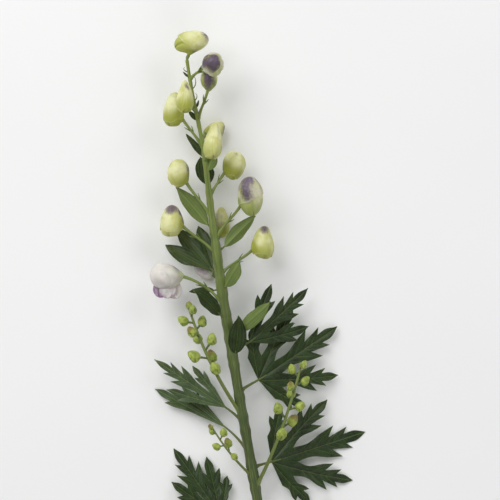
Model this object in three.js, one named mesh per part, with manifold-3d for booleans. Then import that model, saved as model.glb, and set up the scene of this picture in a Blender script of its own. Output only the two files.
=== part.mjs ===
// One cut stem of a bicoloured monkshood in bud, lying on a table.
// Millimetres. +Y runs from the cut end to the tip, +X is to the right as seen from above, +Z is up.
// The pieces are the main stem, its blooms, its side sprays of small green buds, its narrow bract leaves
// and its large palmately cut leaves. Each grows out of the stem, with a hair of clearance at its root.
import * as THREE from "three";
import { mergeGeometries, mergeVertices } from "three/addons/utils/BufferGeometryUtils.js";
import Module from "manifold-3d";

const wasm = await Module();
wasm.setup();

// The main stem: a gently swaying rod that thins out through the flowering top.
const STEM_LENGTH = 584;
const STEM_LEAN = 0.137; // sideways travel for each millimetre of length
const STEM_SWAY = 3.5;
const STEM_NOD = 6; // how far the tip nods aside
const STEM_NODS_FROM = 500;
const STEM_NODS_TO = 588;
const STEM_RISE = 28; // how far the tip is held off the table by the buds under it
const STEM_RISE_POWER = 1.3;
const STEM_RADIUS_CUT = 3.7;
const STEM_RADIUS_TIP = 1.2;
const STEM_THINS_FROM = 380;
const STEM_THINS_TO = 560;
const STEM_SIDES = 10;
const STEM_RINGS = 26;
const CUT_SLANT = 0.6; // slope of the slanting knife cut
const CUT_SLANT_REACH = 12; // the slant dies out over this length
const FLAT_SPOT_DEPTH = 0.25; // how much the table flattens what rests on it

const ROOT_GAP = 0.3; // clearance between the stem and what grows out of it
const GOLDEN_ANGLE = 137.5;
const UP = new THREE.Vector3(0, 0, 1);

// Pedicels, the thin stalks of the blooms.
const PEDICEL_RADIUS = 1.1;
const PEDICEL_ROOT_SWELL = 0.4;
const PEDICEL_HEAD_SWELL = 0.7;
const PEDICEL_SINK = 0.35; // how far a pedicel's head reaches to its bud's middle
const PEDICEL_PULL = 0.3; // how far each end keeps its own direction, as a share of the reach
const PEDICEL_SIDES = 6;
const PEDICEL_RINGS = 5;
const BRACTEOLE_LENGTH = 6;
const BRACTEOLE_WIDTH = 1.1; // from the midrib to the edge, as for every blade here
const BRACTEOLE_LEAN = 0.5; // how far one leans out, for each millimetre it goes up the pedicel
const BRACTEOLES = [
  { side: 1, at: 0.52 }, // at: place along the pedicel
  { side: -1, at: 0.58 },
];

// Buds.
const BUD_SECTORS = 12;
const RIM_RINGS = [0, 25, 48, 70, 90, 92, 112, 134, 157, 180]; // degrees from the back of the hood
const RIM_RING = 4; // the ring that is the rim of the hood
const RIM_TILT = 44; // degrees from the bud's long axis back to the middle of the hood
const SEPAL_STEP = 0.07; // how far the sepals under the hood step in, as a share of the half depth
const SEPAL_GROOVE = 0.05;
const GROOVE_WIDTH = 0.05; // share of the half width on which a corner counts as being in the groove
const FULLEST = 0.74; // where a bud is fullest: below 1 is under its middle
const SLENDERING = 0.42; // how much thinner the top of the slenderest hood is
const SPINE = { foot: 0.54, round: 0.46, slender: 0.3 }; // from the back, as a share of the depth
const PEA_SECTORS = 6;
const PEA_ROWS = 5;

// Petals of the flower that is opening, as shares of its length, depth and width.
const PETAL = { first: 0.36, last: 0.6, fan: 0.5, heart: 0.2, offset: 0.12, length: 0.66, width: 0.24 };

// Blades.
const BLADE_THICKNESS = 0.7;
const BLADE_FOLD = 0.22; // how steeply each half of a lobe rises from its midrib
const LOBE_SAG = 0.14; // the most that lobes differ in how they hang, as a share of the length
const PETIOLE_RADIUS = 1.3;
const BRACT_STALK_RADIUS = 1;
const BRACT_PETIOLE = 1.5; // a bract leaf's petiole, where its row gives none
const STALK_SINK = 0.1; // how far a stalk runs on into its blade, as a share of the blade's length
const STALK_PULL = 0.35;
const STALK_TAPER = { root: 1.25, tip: 0.6 }; // times the stalk's radius
const STALK_SIDES = 6;
const STALK_RINGS = 4;
const VEIN_LEAN = 1.6; // forward travel of the side veins for each millimetre outward
const BRACT_VEIN_LEAN = 0.4;
const LOBES_JOIN = 0.26; // share of the leaf's length over which its lobes are one blade
const LOBE_BEND = 0.14; // how much the side lobes curve forward
const TABLE_EASE = 3; // a blade bends this softly where it meets the table
const SMALL_CUP = 0.35; // how steeply a bracteole or petal rises from its midrib
const SMALL_CURL = 0.12; // and how far its tip curls up, as a share of its length
const POINTED = [0.4, 1, 0.65, 0]; // widths of a bracteole from its foot to its tip
const ROUND = [0.7, 1, 0.95, 0.5]; // and of a petal

// Side sprays: what changes from the lowest bud to the highest one.
const SPRAY_CROWDING = 0.85; // below 1, the buds crowd towards the tip
const SPRAY_BUD_SHRINK = 0.3;
const SPRAY_STALK_SHRINK = 0.55;
const SPRAY_STALK_RISE = 0.75; // how far a bud's stalk goes up the spray, and out from it
const SPRAY_STALK_OUT = 0.7;
const SPRAY_STALK_THICKNESS = 0.6; // share of the axis's radius
const SPRAY_TAPER = { root: 1.2, tip: 0.7 }; // times the axis's radius
const SPRAY_TURN_JITTER = 30; // degrees
const SPRAY_SIZE_JITTER = { least: 0.9, most: 1.1 };
const SPRAY_SIDES = 6;
const SPRAY_RINGS = 8;
const SPRAY_STALK_SIDES = 4;
const SPRAY_STALK_RINGS = 2;
const PEA = { depth: 0.82, width: 0.74, seat: 0.3, hood: 0.15, clear: 0.8 }; // shares of its length

const COLOURS = {
  stem: { color: 0x76883f, roughness: 0.55 },
  leaf: { color: 0x2c4322, roughness: 0.42 },
  bract: { color: 0x47682f, roughness: 0.5 },
  bud: { color: 0xc3c57f, roughness: 0.6 },
  purple: { color: 0x5d4673, roughness: 0.6 },
  dusky: { color: 0xa79aa0, roughness: 0.6 },
  white: { color: 0xd8d4cc, roughness: 0.6 },
  spray: { color: 0x8c9c3c, roughness: 0.55 },
};

// Blooms, from the tip down. root: height on the stem. joint: where the pedicel meets the bud. angle and
// tilt: the bud's long axis, in the plane of the table from +X, and up from it. seat: the joint's place along
// the bud. front: the way the bud's belly faces, away from the stem unless given. hood: 1 for a slender top,
// 0 for a round one. fullest: where the bud is fullest, if not where most are. arrive: the pedicel's
// direction at its head. rests: the bud lies on the table. petals: how many show.
const BLOOMS = [
  { root: 583, joint: [-83.6, 588.6, 34], angle: 18, tilt: 4, length: 27, depth: 16.5, width: 16,
    seat: 0.37, hood: 0.1, fullest: 1, front: [-0.3, 0.95, 0], colour: "bud" },
  { root: 566, joint: [-73, 579.6, 36.5], angle: 46, tilt: 40, length: 18.5, depth: 17.5, width: 17,
    seat: 0.12, hood: 0, fullest: 0.95, front: [0.8, -0.5, 0.3], colour: "purple" },
  { root: 534, joint: [-69.6, 561.2, 31], angle: 87, tilt: -8, length: 21, depth: 13, width: 13.4,
    seat: 0.04, hood: 0.2, fullest: 0.9, front: [0.1, 0, -1], colour: "dusky" },
  { root: 541, joint: [-84.2, 548.5, 38], angle: 94, tilt: 0, length: 25, depth: 15, width: 13.6,
    seat: 0.25, hood: 0.7, front: [-0.45, 0, 0.9], colour: "bud" },
  { root: 511.5, joint: [-89.3, 540, 25], angle: 91, tilt: 0, length: 26.5, depth: 15.8, width: 15,
    seat: 0.3, hood: 0.2, colour: "bud" },
  { root: 520, joint: [-71.5, 529, 17], angle: 42, tilt: 0, length: 20, depth: 15.8, width: 15, seat: 0.3,
    hood: 0.2, front: [0.5, -0.5, -0.6], rests: true, colour: "bud" },
  { root: 503, joint: [-69.1, 514.4, 38.5], angle: 79, tilt: 4, length: 28, depth: 16, width: 15,
    seat: 0.24, hood: 0.75, fullest: 0.7, front: [0.35, 0, 0.9], colour: "bud" },
  { root: 457, joint: [-86, 490.6, 27], angle: 97, tilt: 0, length: 21.8, depth: 16.4, width: 15.5,
    seat: 0.22, hood: 0, fullest: 1.1, colour: "bud" },
  { root: 429, joint: [-89.3, 459, 23], angle: 94, tilt: 3, length: 24.6, depth: 17.4, width: 17,
    seat: 0.46, hood: 0.1, colour: "bud" },
  { root: 437.5, joint: [-63, 449.4, 12], angle: 86, tilt: 0, length: 23.3, depth: 13.6, width: 13,
    seat: 0.1, hood: 0.3, front: [0.6, 0, -0.8], rests: true, colour: "dusky" },
  { root: 388, joint: [-90.2, 418.2, 22], angle: 184, tilt: 6, length: 24.2, depth: 20.5, width: 20.5,
    seat: 0.01, hood: 0, fullest: 1.2, front: [0, -1, 0.1], arrive: [-0.97, 0.2, 0], petals: 3,
    colour: "white" },
  { root: 441, joint: [-45.7, 473.7, 30], angle: 88, tilt: 5, length: 30.5, depth: 19.8, width: 19,
    seat: 0.33, hood: 0.1, fullest: 1.05, colour: "dusky" },
  { root: 407, joint: [-65.2, 422.2, 11], angle: 158, tilt: 0, length: 18.5, depth: 12.5, width: 13,
    seat: 0.2, hood: 0, front: [-0.3, -0.6, -0.7], rests: true, colour: "white" },
  { root: 474, joint: [-57.8, 500, 22], angle: 74, tilt: -6, length: 22.4, depth: 17.8, width: 16.5,
    seat: 0.3, hood: 0.1, fullest: 1.1, colour: "bud" },
  { root: 414, joint: [-36, 440, 20], angle: 76, tilt: 0, length: 25, depth: 17.5, width: 16, seat: 0.3,
    hood: 0.5, colour: "bud" },
];

// Bract leaves, narrow and uncut. root: height on the stem. tip: where the blade ends. face: how far the
// upper side is turned from the viewer above, about the leaf's length. droop: how far the tip bends away
// from the upper side.
const BRACTS = [
  { root: 568, tip: [-88.2, 573.5, 34], width: 0.9, face: 10, droop: 2 },
  { root: 544, tip: [-76.8, 552.5, 31], width: 0.9, face: 0, droop: -2 },
  { root: 506, tip: [-86, 527, 22], width: 2.9, face: 30, droop: 2 },
  { root: 534.5, tip: [-84.6, 544.5, 28], width: 2, face: 20, droop: 1 },
  { root: 481.5, tip: [-75, 509.5, 9], width: 7.2, face: 14, droop: 2, petiole: 4 },
  { root: 495, tip: [-65, 512, 31], width: 4.4, face: 160, droop: -1 },
  { root: 451, tip: [-93.5, 485.5, 17], width: 6, face: 170, droop: 3, petiole: 4 },
  { root: 433.5, tip: [-34.5, 464, 19], width: 5.6, face: 200, droop: 3, petiole: 5 },
  { root: 404, tip: [-47.5, 427, 38], width: 6, face: 150, droop: -4, petiole: 3 },
  { root: 381, tip: [-78.5, 408, 36], width: 7, face: 40, droop: 4, petiole: 5 },
  { root: 406, tip: [-85.3, 406.5, 7], width: 3, face: 30, droop: 3, petiole: 3 },
  { root: 349, tip: [-45.5, 385, 33], width: 7.2, face: 12, droop: 4, petiole: 5 },
  { root: 369, tip: [-21, 397, 33], width: 5.6, face: 160, droop: 2, petiole: 5 },
];

// Half a lobe's edge from its inner corner to its tip: the share of its free length, and of its half width.
const CUT_EDGE = [
  [0.2, 0.44], [0.42, 0.8], [0.6, 1], [0.49, 0.38],
  [0.6, 0.5], [0.77, 0.68], [0.7, 0.3], [0.85, 0.31],
];
const NOTCHED_EDGE = [[0.22, 0.6], [0.46, 0.92], [0.66, 1], [0.56, 0.46], [0.8, 0.44]];
const PLAIN_EDGE = [[0.14, 0.62], [0.38, 1], [0.66, 0.88], [0.88, 0.42]];

// Cut leaves. base: where the petiole meets the blade. tip: the end of the middle lobe. width: the middle
// lobe's half width. lobes: each lobe's angle from the middle one in degrees, its share of the length, and
// its edge. join: the share of the length over which the lobes are one blade, where it isn't LOBES_JOIN.
const WIDE_LOBES = [
  { angle: -66, share: 0.56, edge: NOTCHED_EDGE },
  { angle: -33, share: 0.84, edge: CUT_EDGE },
  { angle: 0, share: 1, edge: CUT_EDGE },
  { angle: 33, share: 0.84, edge: CUT_EDGE },
  { angle: 66, share: 0.56, edge: NOTCHED_EDGE },
];
const NARROW_LOBES = [
  { angle: -30, share: 0.78, edge: NOTCHED_EDGE },
  { angle: 0, share: 1, edge: CUT_EDGE },
  { angle: 30, share: 0.78, edge: NOTCHED_EDGE },
];
const PLAIN_LOBES = [
  { angle: -23, share: 0.95, edge: PLAIN_EDGE },
  { angle: 0, share: 1, edge: PLAIN_EDGE },
  { angle: 23, share: 0.86, edge: PLAIN_EDGE },
];
const CLOSE_LOBES = [
  { angle: -18, share: 0.72, edge: NOTCHED_EDGE },
  { angle: 0, share: 1, edge: CUT_EDGE },
  { angle: 18, share: 0.62, edge: NOTCHED_EDGE },
];
const UNEVEN_LOBES = [
  { angle: -9, share: 1.31, edge: NOTCHED_EDGE },
  { angle: 0, share: 1, edge: NOTCHED_EDGE },
  { angle: 9, share: 0.82, edge: NOTCHED_EDGE },
];
const RAISED_LOBES = [
  { angle: -44, share: 0.5, edge: NOTCHED_EDGE },
  { angle: -22, share: 0.72, edge: NOTCHED_EDGE },
  { angle: 0, share: 1, edge: CUT_EDGE },
  { angle: 22, share: 0.74, edge: NOTCHED_EDGE },
  { angle: 44, share: 0.5, edge: NOTCHED_EDGE },
];
const CUT_LEAVES = [
  { root: 410, base: [-65.5, 420.5, 19], tip: [-94, 454.5, 10], width: 6.4, lobes: PLAIN_LOBES,
    face: 8, droop: 3 },
  { root: 298, base: [-56, 316, 12], tip: [-111, 353, 12], width: 7.5, lobes: CLOSE_LOBES,
    face: 6, droop: 2 },
  { root: 272, base: [-56, 300.5, 8], tip: [-94, 329, 4], width: 4.6, lobes: UNEVEN_LOBES, join: 0.6,
    face: 8,
    droop: 3 },
  { root: 356, base: [-38, 366, 19], tip: [8, 407, 17], width: 9.5, lobes: NARROW_LOBES,
    face: 14, droop: 4 },
  { root: 324, base: [-31, 337, 12], tip: [30, 378, 7], width: 12, lobes: WIDE_LOBES, face: 3, droop: 3 },
  { root: 266, base: [-21, 274, 8], tip: [52, 297, 3], width: 12.5, lobes: WIDE_LOBES, face: 3, droop: 4 },
  { root: 200, base: [-60, 232, 9], tip: [-96, 285, 4], width: 10, lobes: RAISED_LOBES, face: 8, droop: 4 },
  { root: 188, base: [-8, 196, 9], tip: [56, 224, 3], width: 12.5, lobes: WIDE_LOBES, face: 3, droop: 4 },
];

// Side sprays of small green buds. root: height on the stem. bow: how far the axis bows out from a straight
// line. from: where along the axis the buds begin. size: the lowest bud's length, and stalk: its stalk's.
const SPRAYS = [
  { root: 309, tip: [-84, 391, 20], bow: [-6, -4, 9], radius: 1.3, buds: 10, from: 0.4, size: 11, stalk: 8,
    seed: 3 },
  { root: 262, tip: [-66, 300, 28], bow: [-3, -2, 4], radius: 0.9, buds: 6, from: 0.4, size: 8, stalk: 5,
    seed: 8 },
  { root: 254, tip: [1, 346, 30], bow: [4, -6, 9], radius: 1.3, buds: 9, from: 0.44, size: 10.5, stalk: 8,
    seed: 5 },
];

const vector = (xyz) => new THREE.Vector3(...xyz);
const smooth = (x) => THREE.MathUtils.smoothstep(x, 0, 1);

// The stem's centre line, with t running from the cut end to the tip.
class StemAxis extends THREE.Curve {
  getPoint(t, target = new THREE.Vector3()) {
    const lift = STEM_RADIUS_CUT - FLAT_SPOT_DEPTH + STEM_RISE * Math.max(t, 0) ** STEM_RISE_POWER;
    const nod = STEM_NOD * THREE.MathUtils.smoothstep(STEM_LENGTH * t, STEM_NODS_FROM, STEM_NODS_TO);
    const aside = -STEM_LEAN * STEM_LENGTH * t + STEM_SWAY * Math.sin(2 * Math.PI * t) - nod;
    return target.set(aside, STEM_LENGTH * t, lift);
  }
}
const stemAxis = new StemAxis();
const stemAt = (height) => stemAxis.getPoint(height / STEM_LENGTH);
const stemRadius = (t) =>
  THREE.MathUtils.lerp(
    STEM_RADIUS_CUT,
    STEM_RADIUS_TIP,
    THREE.MathUtils.smoothstep(t * STEM_LENGTH, STEM_THINS_FROM, STEM_THINS_TO),
  );

// A repeatable stream of numbers from 0 to 1.
function draws(seed) {
  let state = seed;
  return () => {
    state = (state * 1664525 + 1013904223) % 4294967296;
    return state / 4294967296;
  };
}

// The closed surface of a geometry as a solid that can be joined and cut.
function solidOf(geometry) {
  geometry.deleteAttribute("normal");
  geometry.deleteAttribute("uv");
  const merged = mergeVertices(geometry, 1e-4);
  return new wasm.Manifold(
    new wasm.Mesh({
      numProp: 3,
      vertProperties: merged.attributes.position.array,
      triVerts: new Uint32Array(merged.index.array),
    }),
  );
}

// Moves every vertex of a geometry to where place puts it.
function reshape(geometry, place) {
  const points = geometry.getAttribute("position");
  for (let i = 0; i < points.count; i++) {
    const p = place(points.getX(i), points.getY(i), points.getZ(i));
    points.setXYZ(i, p.x, p.y, p.z);
  }
  return geometry;
}

// A closed round rod bent along a curve, with its radius a function of the place along it.
function rod(curve, radiusAt, sides, rings, extend = 0) {
  return reshape(new THREE.CylinderGeometry(1, 1, 1, sides, rings), (x, y, z) => {
    const t = y + 0.5;
    const along = curve.getTangent(t);
    const across = new THREE.Vector3().crossVectors(along, UP).normalize();
    const through = new THREE.Vector3().crossVectors(across, along);
    return curve
      .getPoint(t)
      .addScaledVector(along, 2 * extend * y)
      .addScaledVector(across, x * radiusAt(t))
      .addScaledVector(through, z * radiusAt(t));
  });
}

// The side of a direction that faces the viewer above, turned about that direction.
function facing(along, degrees = 0) {
  return UP.clone()
    .projectOnPlane(along)
    .normalize()
    .applyAxisAngle(along, THREE.MathUtils.degToRad(degrees));
}

// Gives a sheet of triangles its thickness, with walls round its free edges. Both faces are split alike.
function thicken(sheet) {
  sheet.deleteAttribute("normal");
  sheet.deleteAttribute("uv");
  const merged = mergeVertices(sheet, 1e-3);
  const corners = [...merged.index.array];
  const faces = [];
  for (let i = 0; i < corners.length; i += 3) {
    const [a, b, c] = corners.slice(i, i + 3);
    if (a !== b && b !== c && c !== a) faces.push([a, b, c]);
  }
  merged.setIndex(faces.flat());
  merged.computeVertexNormals();
  const points = merged.getAttribute("position");
  const normals = merged.getAttribute("normal");
  const count = points.count;
  const both = [];
  for (const side of [0.5, -0.5])
    for (let i = 0; i < count; i++) {
      const normal = new THREE.Vector3().fromBufferAttribute(normals, i);
      const p = new THREE.Vector3().fromBufferAttribute(points, i);
      both.push(...p.addScaledVector(normal, side * BLADE_THICKNESS));
    }
  const edges = new Set(faces.flatMap(([a, b, c]) => [`${a},${b}`, `${b},${c}`, `${c},${a}`]));
  const all = faces.flatMap(([a, b, c]) => [a, b, c, a + count, c + count, b + count]);
  for (const edge of edges) {
    const [a, b] = edge.split(",").map(Number);
    if (!edges.has(`${b},${a}`)) all.push(b, a, a + count, b, a + count, b + count);
  }
  return new THREE.BufferGeometry()
    .setAttribute("position", new THREE.Float32BufferAttribute(both, 3))
    .setIndex(all);
}

// One lobe's stations: the place on the midrib, and the edge's distance forward and out. The side veins are
// parallel, so each edge point lies on the vein of its own midrib place. Neighbouring lobes share their edges
// up to the corner.
function lobeStations(lobe, leaf) {
  const reach = lobe.share * leaf.length;
  const stations = [{ middle: 0, forward: 0, out: 0 }];
  const lean = leaf.lobes.length > 1 ? VEIN_LEAN : BRACT_VEIN_LEAN;
  const add = (forward, out) => stations.push({ middle: forward - lean * out, forward, out });
  const join = leaf.lobes.length > 1 ? (leaf.join ?? LOBES_JOIN) * leaf.length : 0;
  if (join > 0) {
    const half = THREE.MathUtils.degToRad((leaf.lobes[1].angle - leaf.lobes[0].angle) / 2);
    add(join * Math.cos(half), join * Math.sin(half));
  }
  for (const [x, out] of lobe.edge) add(join + x * (reach - join), out * leaf.width * lobe.share);
  add(reach, 0);
  return stations;
}

// A blade as a sheet: lobes side by side, each a strip folded along its midrib, all bent over one arch.
function bladeSheet(leaf) {
  const along = leaf.tip.clone().sub(leaf.base).normalize();
  const normal = facing(along, leaf.face);
  const across = new THREE.Vector3().crossVectors(along, normal);
  const next = draws(Math.round(leaf.root));
  const strips = leaf.lobes.map((lobe) => {
    const stations = lobeStations(lobe, leaf);
    const last = stations.length - 1;
    const sag = (next() - 0.5) * LOBE_SAG * leaf.length;
    return reshape(new THREE.PlaneGeometry(2, 1, 2, last), (side, y) => {
      const { middle, forward, out } = stations[Math.round((y + 0.5) * last)];
      const ahead = side === 0 ? middle : forward;
      const aside = side * out;
      const free = Math.max(0, ahead / leaf.length - LOBES_JOIN);
      const turn = THREE.MathUtils.degToRad(lobe.angle * (1 - LOBE_BEND * free));
      const a = ahead * Math.cos(turn) - aside * Math.sin(turn);
      const b = ahead * Math.sin(turn) + aside * Math.cos(turn);
      const arch = (leaf.droop * (a * a + b * b)) / leaf.length ** 2;
      const p = leaf.base
        .clone()
        .addScaledVector(along, a)
        .addScaledVector(across, b)
        .addScaledVector(normal, BLADE_FOLD * Math.abs(aside) - arch - sag * free);
      p.z = aboveTable(p.z);
      return p;
    });
  });
  return mergeGeometries(strips);
}

// Lifts what would sink into the table so that it lies along it.
function aboveTable(z) {
  const floor = BLADE_THICKNESS / 2;
  const height = z - floor;
  if (height > TABLE_EASE) return z;
  if (height < -TABLE_EASE) return floor;
  return floor + (height + TABLE_EASE) ** 2 / (4 * TABLE_EASE);
}

// A blade's solid with its stalk, from a root on the stem.
function leafSolid(leaf, stalkRadius) {
  const root = stemAt(leaf.root);
  const along = leaf.tip.clone().sub(leaf.base).normalize();
  const reach = leaf.base.distanceTo(root);
  const rise = stemAxis.getTangent(leaf.root / STEM_LENGTH);
  const end = leaf.base.clone().addScaledVector(along, leaf.length * STALK_SINK);
  end.z = Math.max(end.z, BLADE_THICKNESS);
  const stalk = new THREE.CubicBezierCurve3(
    root,
    root.clone().addScaledVector(rise, reach * STALK_PULL),
    leaf.base.clone().addScaledVector(along, -reach * STALK_PULL),
    end,
  );
  const taper = (t) => stalkRadius * THREE.MathUtils.lerp(STALK_TAPER.root, STALK_TAPER.tip, t);
  const blade = solidOf(thicken(bladeSheet(leaf)));
  return blade.add(solidOf(rod(stalk, taper, STALK_SIDES, STALK_RINGS)));
}

// A cut leaf keeps its measured base and tip; a bract leaf's base stands a short petiole away from the stem.
function cutLeaf(row) {
  const base = vector(row.base);
  const tip = vector(row.tip);
  return leafSolid({ ...row, base, tip, length: base.distanceTo(tip) }, PETIOLE_RADIUS);
}

function bractLeaf(row) {
  const root = stemAt(row.root);
  const tip = vector(row.tip);
  const along = tip.clone().sub(root).normalize();
  const away = stemRadius(row.root / STEM_LENGTH) + (row.petiole ?? BRACT_PETIOLE);
  const base = root.clone().addScaledVector(along, away);
  const lobes = [{ angle: 0, share: 1, edge: PLAIN_EDGE }];
  return leafSolid({ ...row, lobes, base, tip, length: base.distanceTo(tip) }, BRACT_STALK_RADIUS);
}

// A small blade, such as a bracteole or a petal, cupped across and along.
function bladelet(base, along, normal, length, width, profile) {
  const across = new THREE.Vector3().crossVectors(along, normal);
  const rows = profile.length - 1;
  const sheet = reshape(new THREE.PlaneGeometry(2, 1, 2, rows), (side, y) => {
    const x = y + 0.5;
    const out = side * width * profile[Math.round(rows * x)];
    return base
      .clone()
      .addScaledVector(along, x * length)
      .addScaledVector(across, out)
      .addScaledVector(normal, SMALL_CUP * Math.abs(out) + SMALL_CURL * length * x * x);
  });
  return solidOf(thicken(sheet));
}

// Three directions at right angles: up along a bud, front as near to a given one as can be, and side.
function framed(up, towards) {
  const front = towards.clone().projectOnPlane(up).normalize();
  return { up, front, side: new THREE.Vector3().crossVectors(front, up) };
}

// The bud's own directions: up along its long axis, front to its belly, and side.
function budFrame(bloom) {
  const angle = THREE.MathUtils.degToRad(bloom.angle);
  const tilt = THREE.MathUtils.degToRad(bloom.tilt);
  const up = new THREE.Vector3(
    Math.cos(tilt) * Math.cos(angle),
    Math.cos(tilt) * Math.sin(angle),
    Math.sin(tilt),
  );
  return framed(up, bloom.front ? vector(bloom.front) : bloom.joint.clone().sub(stemAt(bloom.joint.y)));
}

// A point of the bud, from a direction in the unit ball as its front, up and side shares. The ball is drawn
// out into an egg that is fullest below its middle. The egg's spine leans from the belly at its foot to the
// back at its top.
function eggPoint(bloom, frame, front, up, side) {
  const size = (share) => {
    const skewed = share ** (bloom.fullest ?? FULLEST);
    return Math.sqrt(Math.max(0, skewed * (1 - skewed))) * (1 - SLENDERING * bloom.hood * share * share);
  };
  const top = THREE.MathUtils.lerp(SPINE.round, SPINE.slender, bloom.hood);
  const spine = (share) => THREE.MathUtils.lerp(SPINE.foot, top, smooth(share));
  const back = spine(bloom.seat) - size(bloom.seat);
  const share = (1 + up) / 2;
  const reach = size(share) / Math.max(Math.sqrt(1 - up * up), 1e-3);
  return bloom.joint
    .clone()
    .addScaledVector(frame.front, bloom.depth * (spine(share) - back + reach * front))
    .addScaledVector(frame.side, bloom.width * reach * side)
    .addScaledVector(frame.up, bloom.length * (share - bloom.seat));
}

// The bud's body. The ball's poles are tilted, so that one of its rings runs from high on the front to the
// back of the foot. That ring is the rim of the hood, and past it the other sepals step in and meet in a
// groove along the front.
function budSolid(bloom, frame) {
  const rows = RIM_RINGS.length - 1;
  const tilt = THREE.MathUtils.degToRad(RIM_TILT);
  const body = reshape(new THREE.SphereGeometry(1, BUD_SECTORS, rows), (x, y, z) => {
    const row = Math.round((rows * Math.acos(THREE.MathUtils.clamp(y, -1, 1))) / Math.PI);
    const polar = THREE.MathUtils.degToRad(RIM_RINGS[row]);
    const ring = Math.hypot(x, z) || 1;
    const flat = (Math.sin(polar) * x) / ring;
    const side = (Math.sin(polar) * z) / ring;
    const groove = Math.abs(side) < GROOVE_WIDTH ? SEPAL_GROOVE : 0;
    const scale = row > RIM_RING ? 1 - SEPAL_STEP - groove : 1;
    const up = Math.cos(polar) * Math.cos(tilt) + flat * Math.sin(tilt);
    const front = flat * Math.cos(tilt) - Math.cos(polar) * Math.sin(tilt);
    return eggPoint(bloom, frame, scale * front, scale * up, scale * side);
  });
  return solidOf(body);
}

// A small bud of a side spray, closed tight.
function peaSolid(bud, frame) {
  return solidOf(
    reshape(new THREE.SphereGeometry(1, PEA_SECTORS, PEA_ROWS), (x, y, z) => eggPoint(bud, frame, x, y, z)),
  );
}

// The round petals that hang out from under the hood of a flower that is opening.
function openPetals(bloom, frame) {
  return Array.from({ length: bloom.petals }, (_, i) => {
    const place = i / (bloom.petals - 1);
    const lean = (place - 0.5) * PETAL.fan;
    const out = frame.front.clone().multiplyScalar(Math.cos(lean)).addScaledVector(frame.up, Math.sin(lean));
    const face = frame.side.clone().multiplyScalar(i % 2 ? 1 : -1);
    const height = THREE.MathUtils.lerp(PETAL.first, PETAL.last, place) - bloom.seat;
    const heart = bloom.joint
      .clone()
      .addScaledVector(frame.front, bloom.depth * PETAL.heart)
      .addScaledVector(frame.up, bloom.length * height)
      .addScaledVector(face, -bloom.width * PETAL.offset);
    return bladelet(heart, out, face, bloom.depth * PETAL.length, bloom.width * PETAL.width, ROUND);
  });
}

// A bloom: its bud, its pedicel with two bracteoles, and the petals that show.
function bloomSolid(row) {
  const bloom = { ...row, joint: vector(row.joint) };
  const frame = budFrame(bloom);
  if (bloom.rests) {
    const lowest = budSolid(bloom, frame).boundingBox().min[2];
    bloom.joint.z -= lowest + FLAT_SPOT_DEPTH;
  }
  const root = stemAt(bloom.root);
  const rise = stemAxis.getTangent(bloom.root / STEM_LENGTH);
  const chord = bloom.joint.clone().sub(root);
  const reach = chord.length();
  const arrive = bloom.arrive ? vector(bloom.arrive) : chord.clone().normalize().add(rise).normalize();
  const stalk = new THREE.CubicBezierCurve3(
    root,
    root.clone().addScaledVector(rise, reach * PEDICEL_PULL),
    bloom.joint.clone().addScaledVector(arrive, -reach * PEDICEL_PULL),
    bloom.joint.clone().lerp(eggPoint(bloom, frame, 0, 0, 0), PEDICEL_SINK),
  );
  const swell = (t) =>
    PEDICEL_RADIUS + PEDICEL_ROOT_SWELL * (1 - t) ** 4 + PEDICEL_HEAD_SWELL * t ** 8;
  const pedicel = solidOf(rod(stalk, swell, PEDICEL_SIDES, PEDICEL_RINGS));
  let bloomed = budSolid(bloom, frame).add(pedicel);
  for (const { side, at } of BRACTEOLES) {
    const along = stalk.getTangent(at);
    const out = facing(along, 90 * side);
    const lean = along.clone().addScaledVector(out, BRACTEOLE_LEAN).normalize();
    const inner = out.clone().negate().projectOnPlane(lean).normalize();
    const start = stalk.getPoint(at);
    bloomed = bloomed.add(bladelet(start, lean, inner, BRACTEOLE_LENGTH, BRACTEOLE_WIDTH, POINTED));
  }
  if (bloom.petals) for (const petal of openPetals(bloom, frame)) bloomed = bloomed.add(petal);
  return bloomed;
}

// One small bud of a side spray on its stalk, at a place t on the spray's axis, turned round it by so many
// degrees.
function sprayBud(axis, t, turn, size, stalkLength, stalkRadius) {
  const along = axis.getTangent(t);
  const out = facing(along, turn);
  const start = axis.getPoint(t);
  const joint = start
    .clone()
    .addScaledVector(along, stalkLength * SPRAY_STALK_RISE)
    .addScaledVector(out, t < 1 ? stalkLength * SPRAY_STALK_OUT : 0);
  joint.z = Math.max(joint.z, size * PEA.clear);
  const frame = framed(along.clone().addScaledVector(out, PEA.hood).normalize(), out);
  const bud = { ...PEA, joint, length: size, depth: size * PEA.depth, width: size * PEA.width };
  const head = joint.clone().addScaledVector(frame.front, size * PEA.seat);
  const stalk = new THREE.QuadraticBezierCurve3(start, start.clone().lerp(joint, 0.5), head);
  const held = solidOf(rod(stalk, () => stalkRadius, SPRAY_STALK_SIDES, SPRAY_STALK_RINGS));
  return held.add(peaSolid(bud, frame));
}

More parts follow.
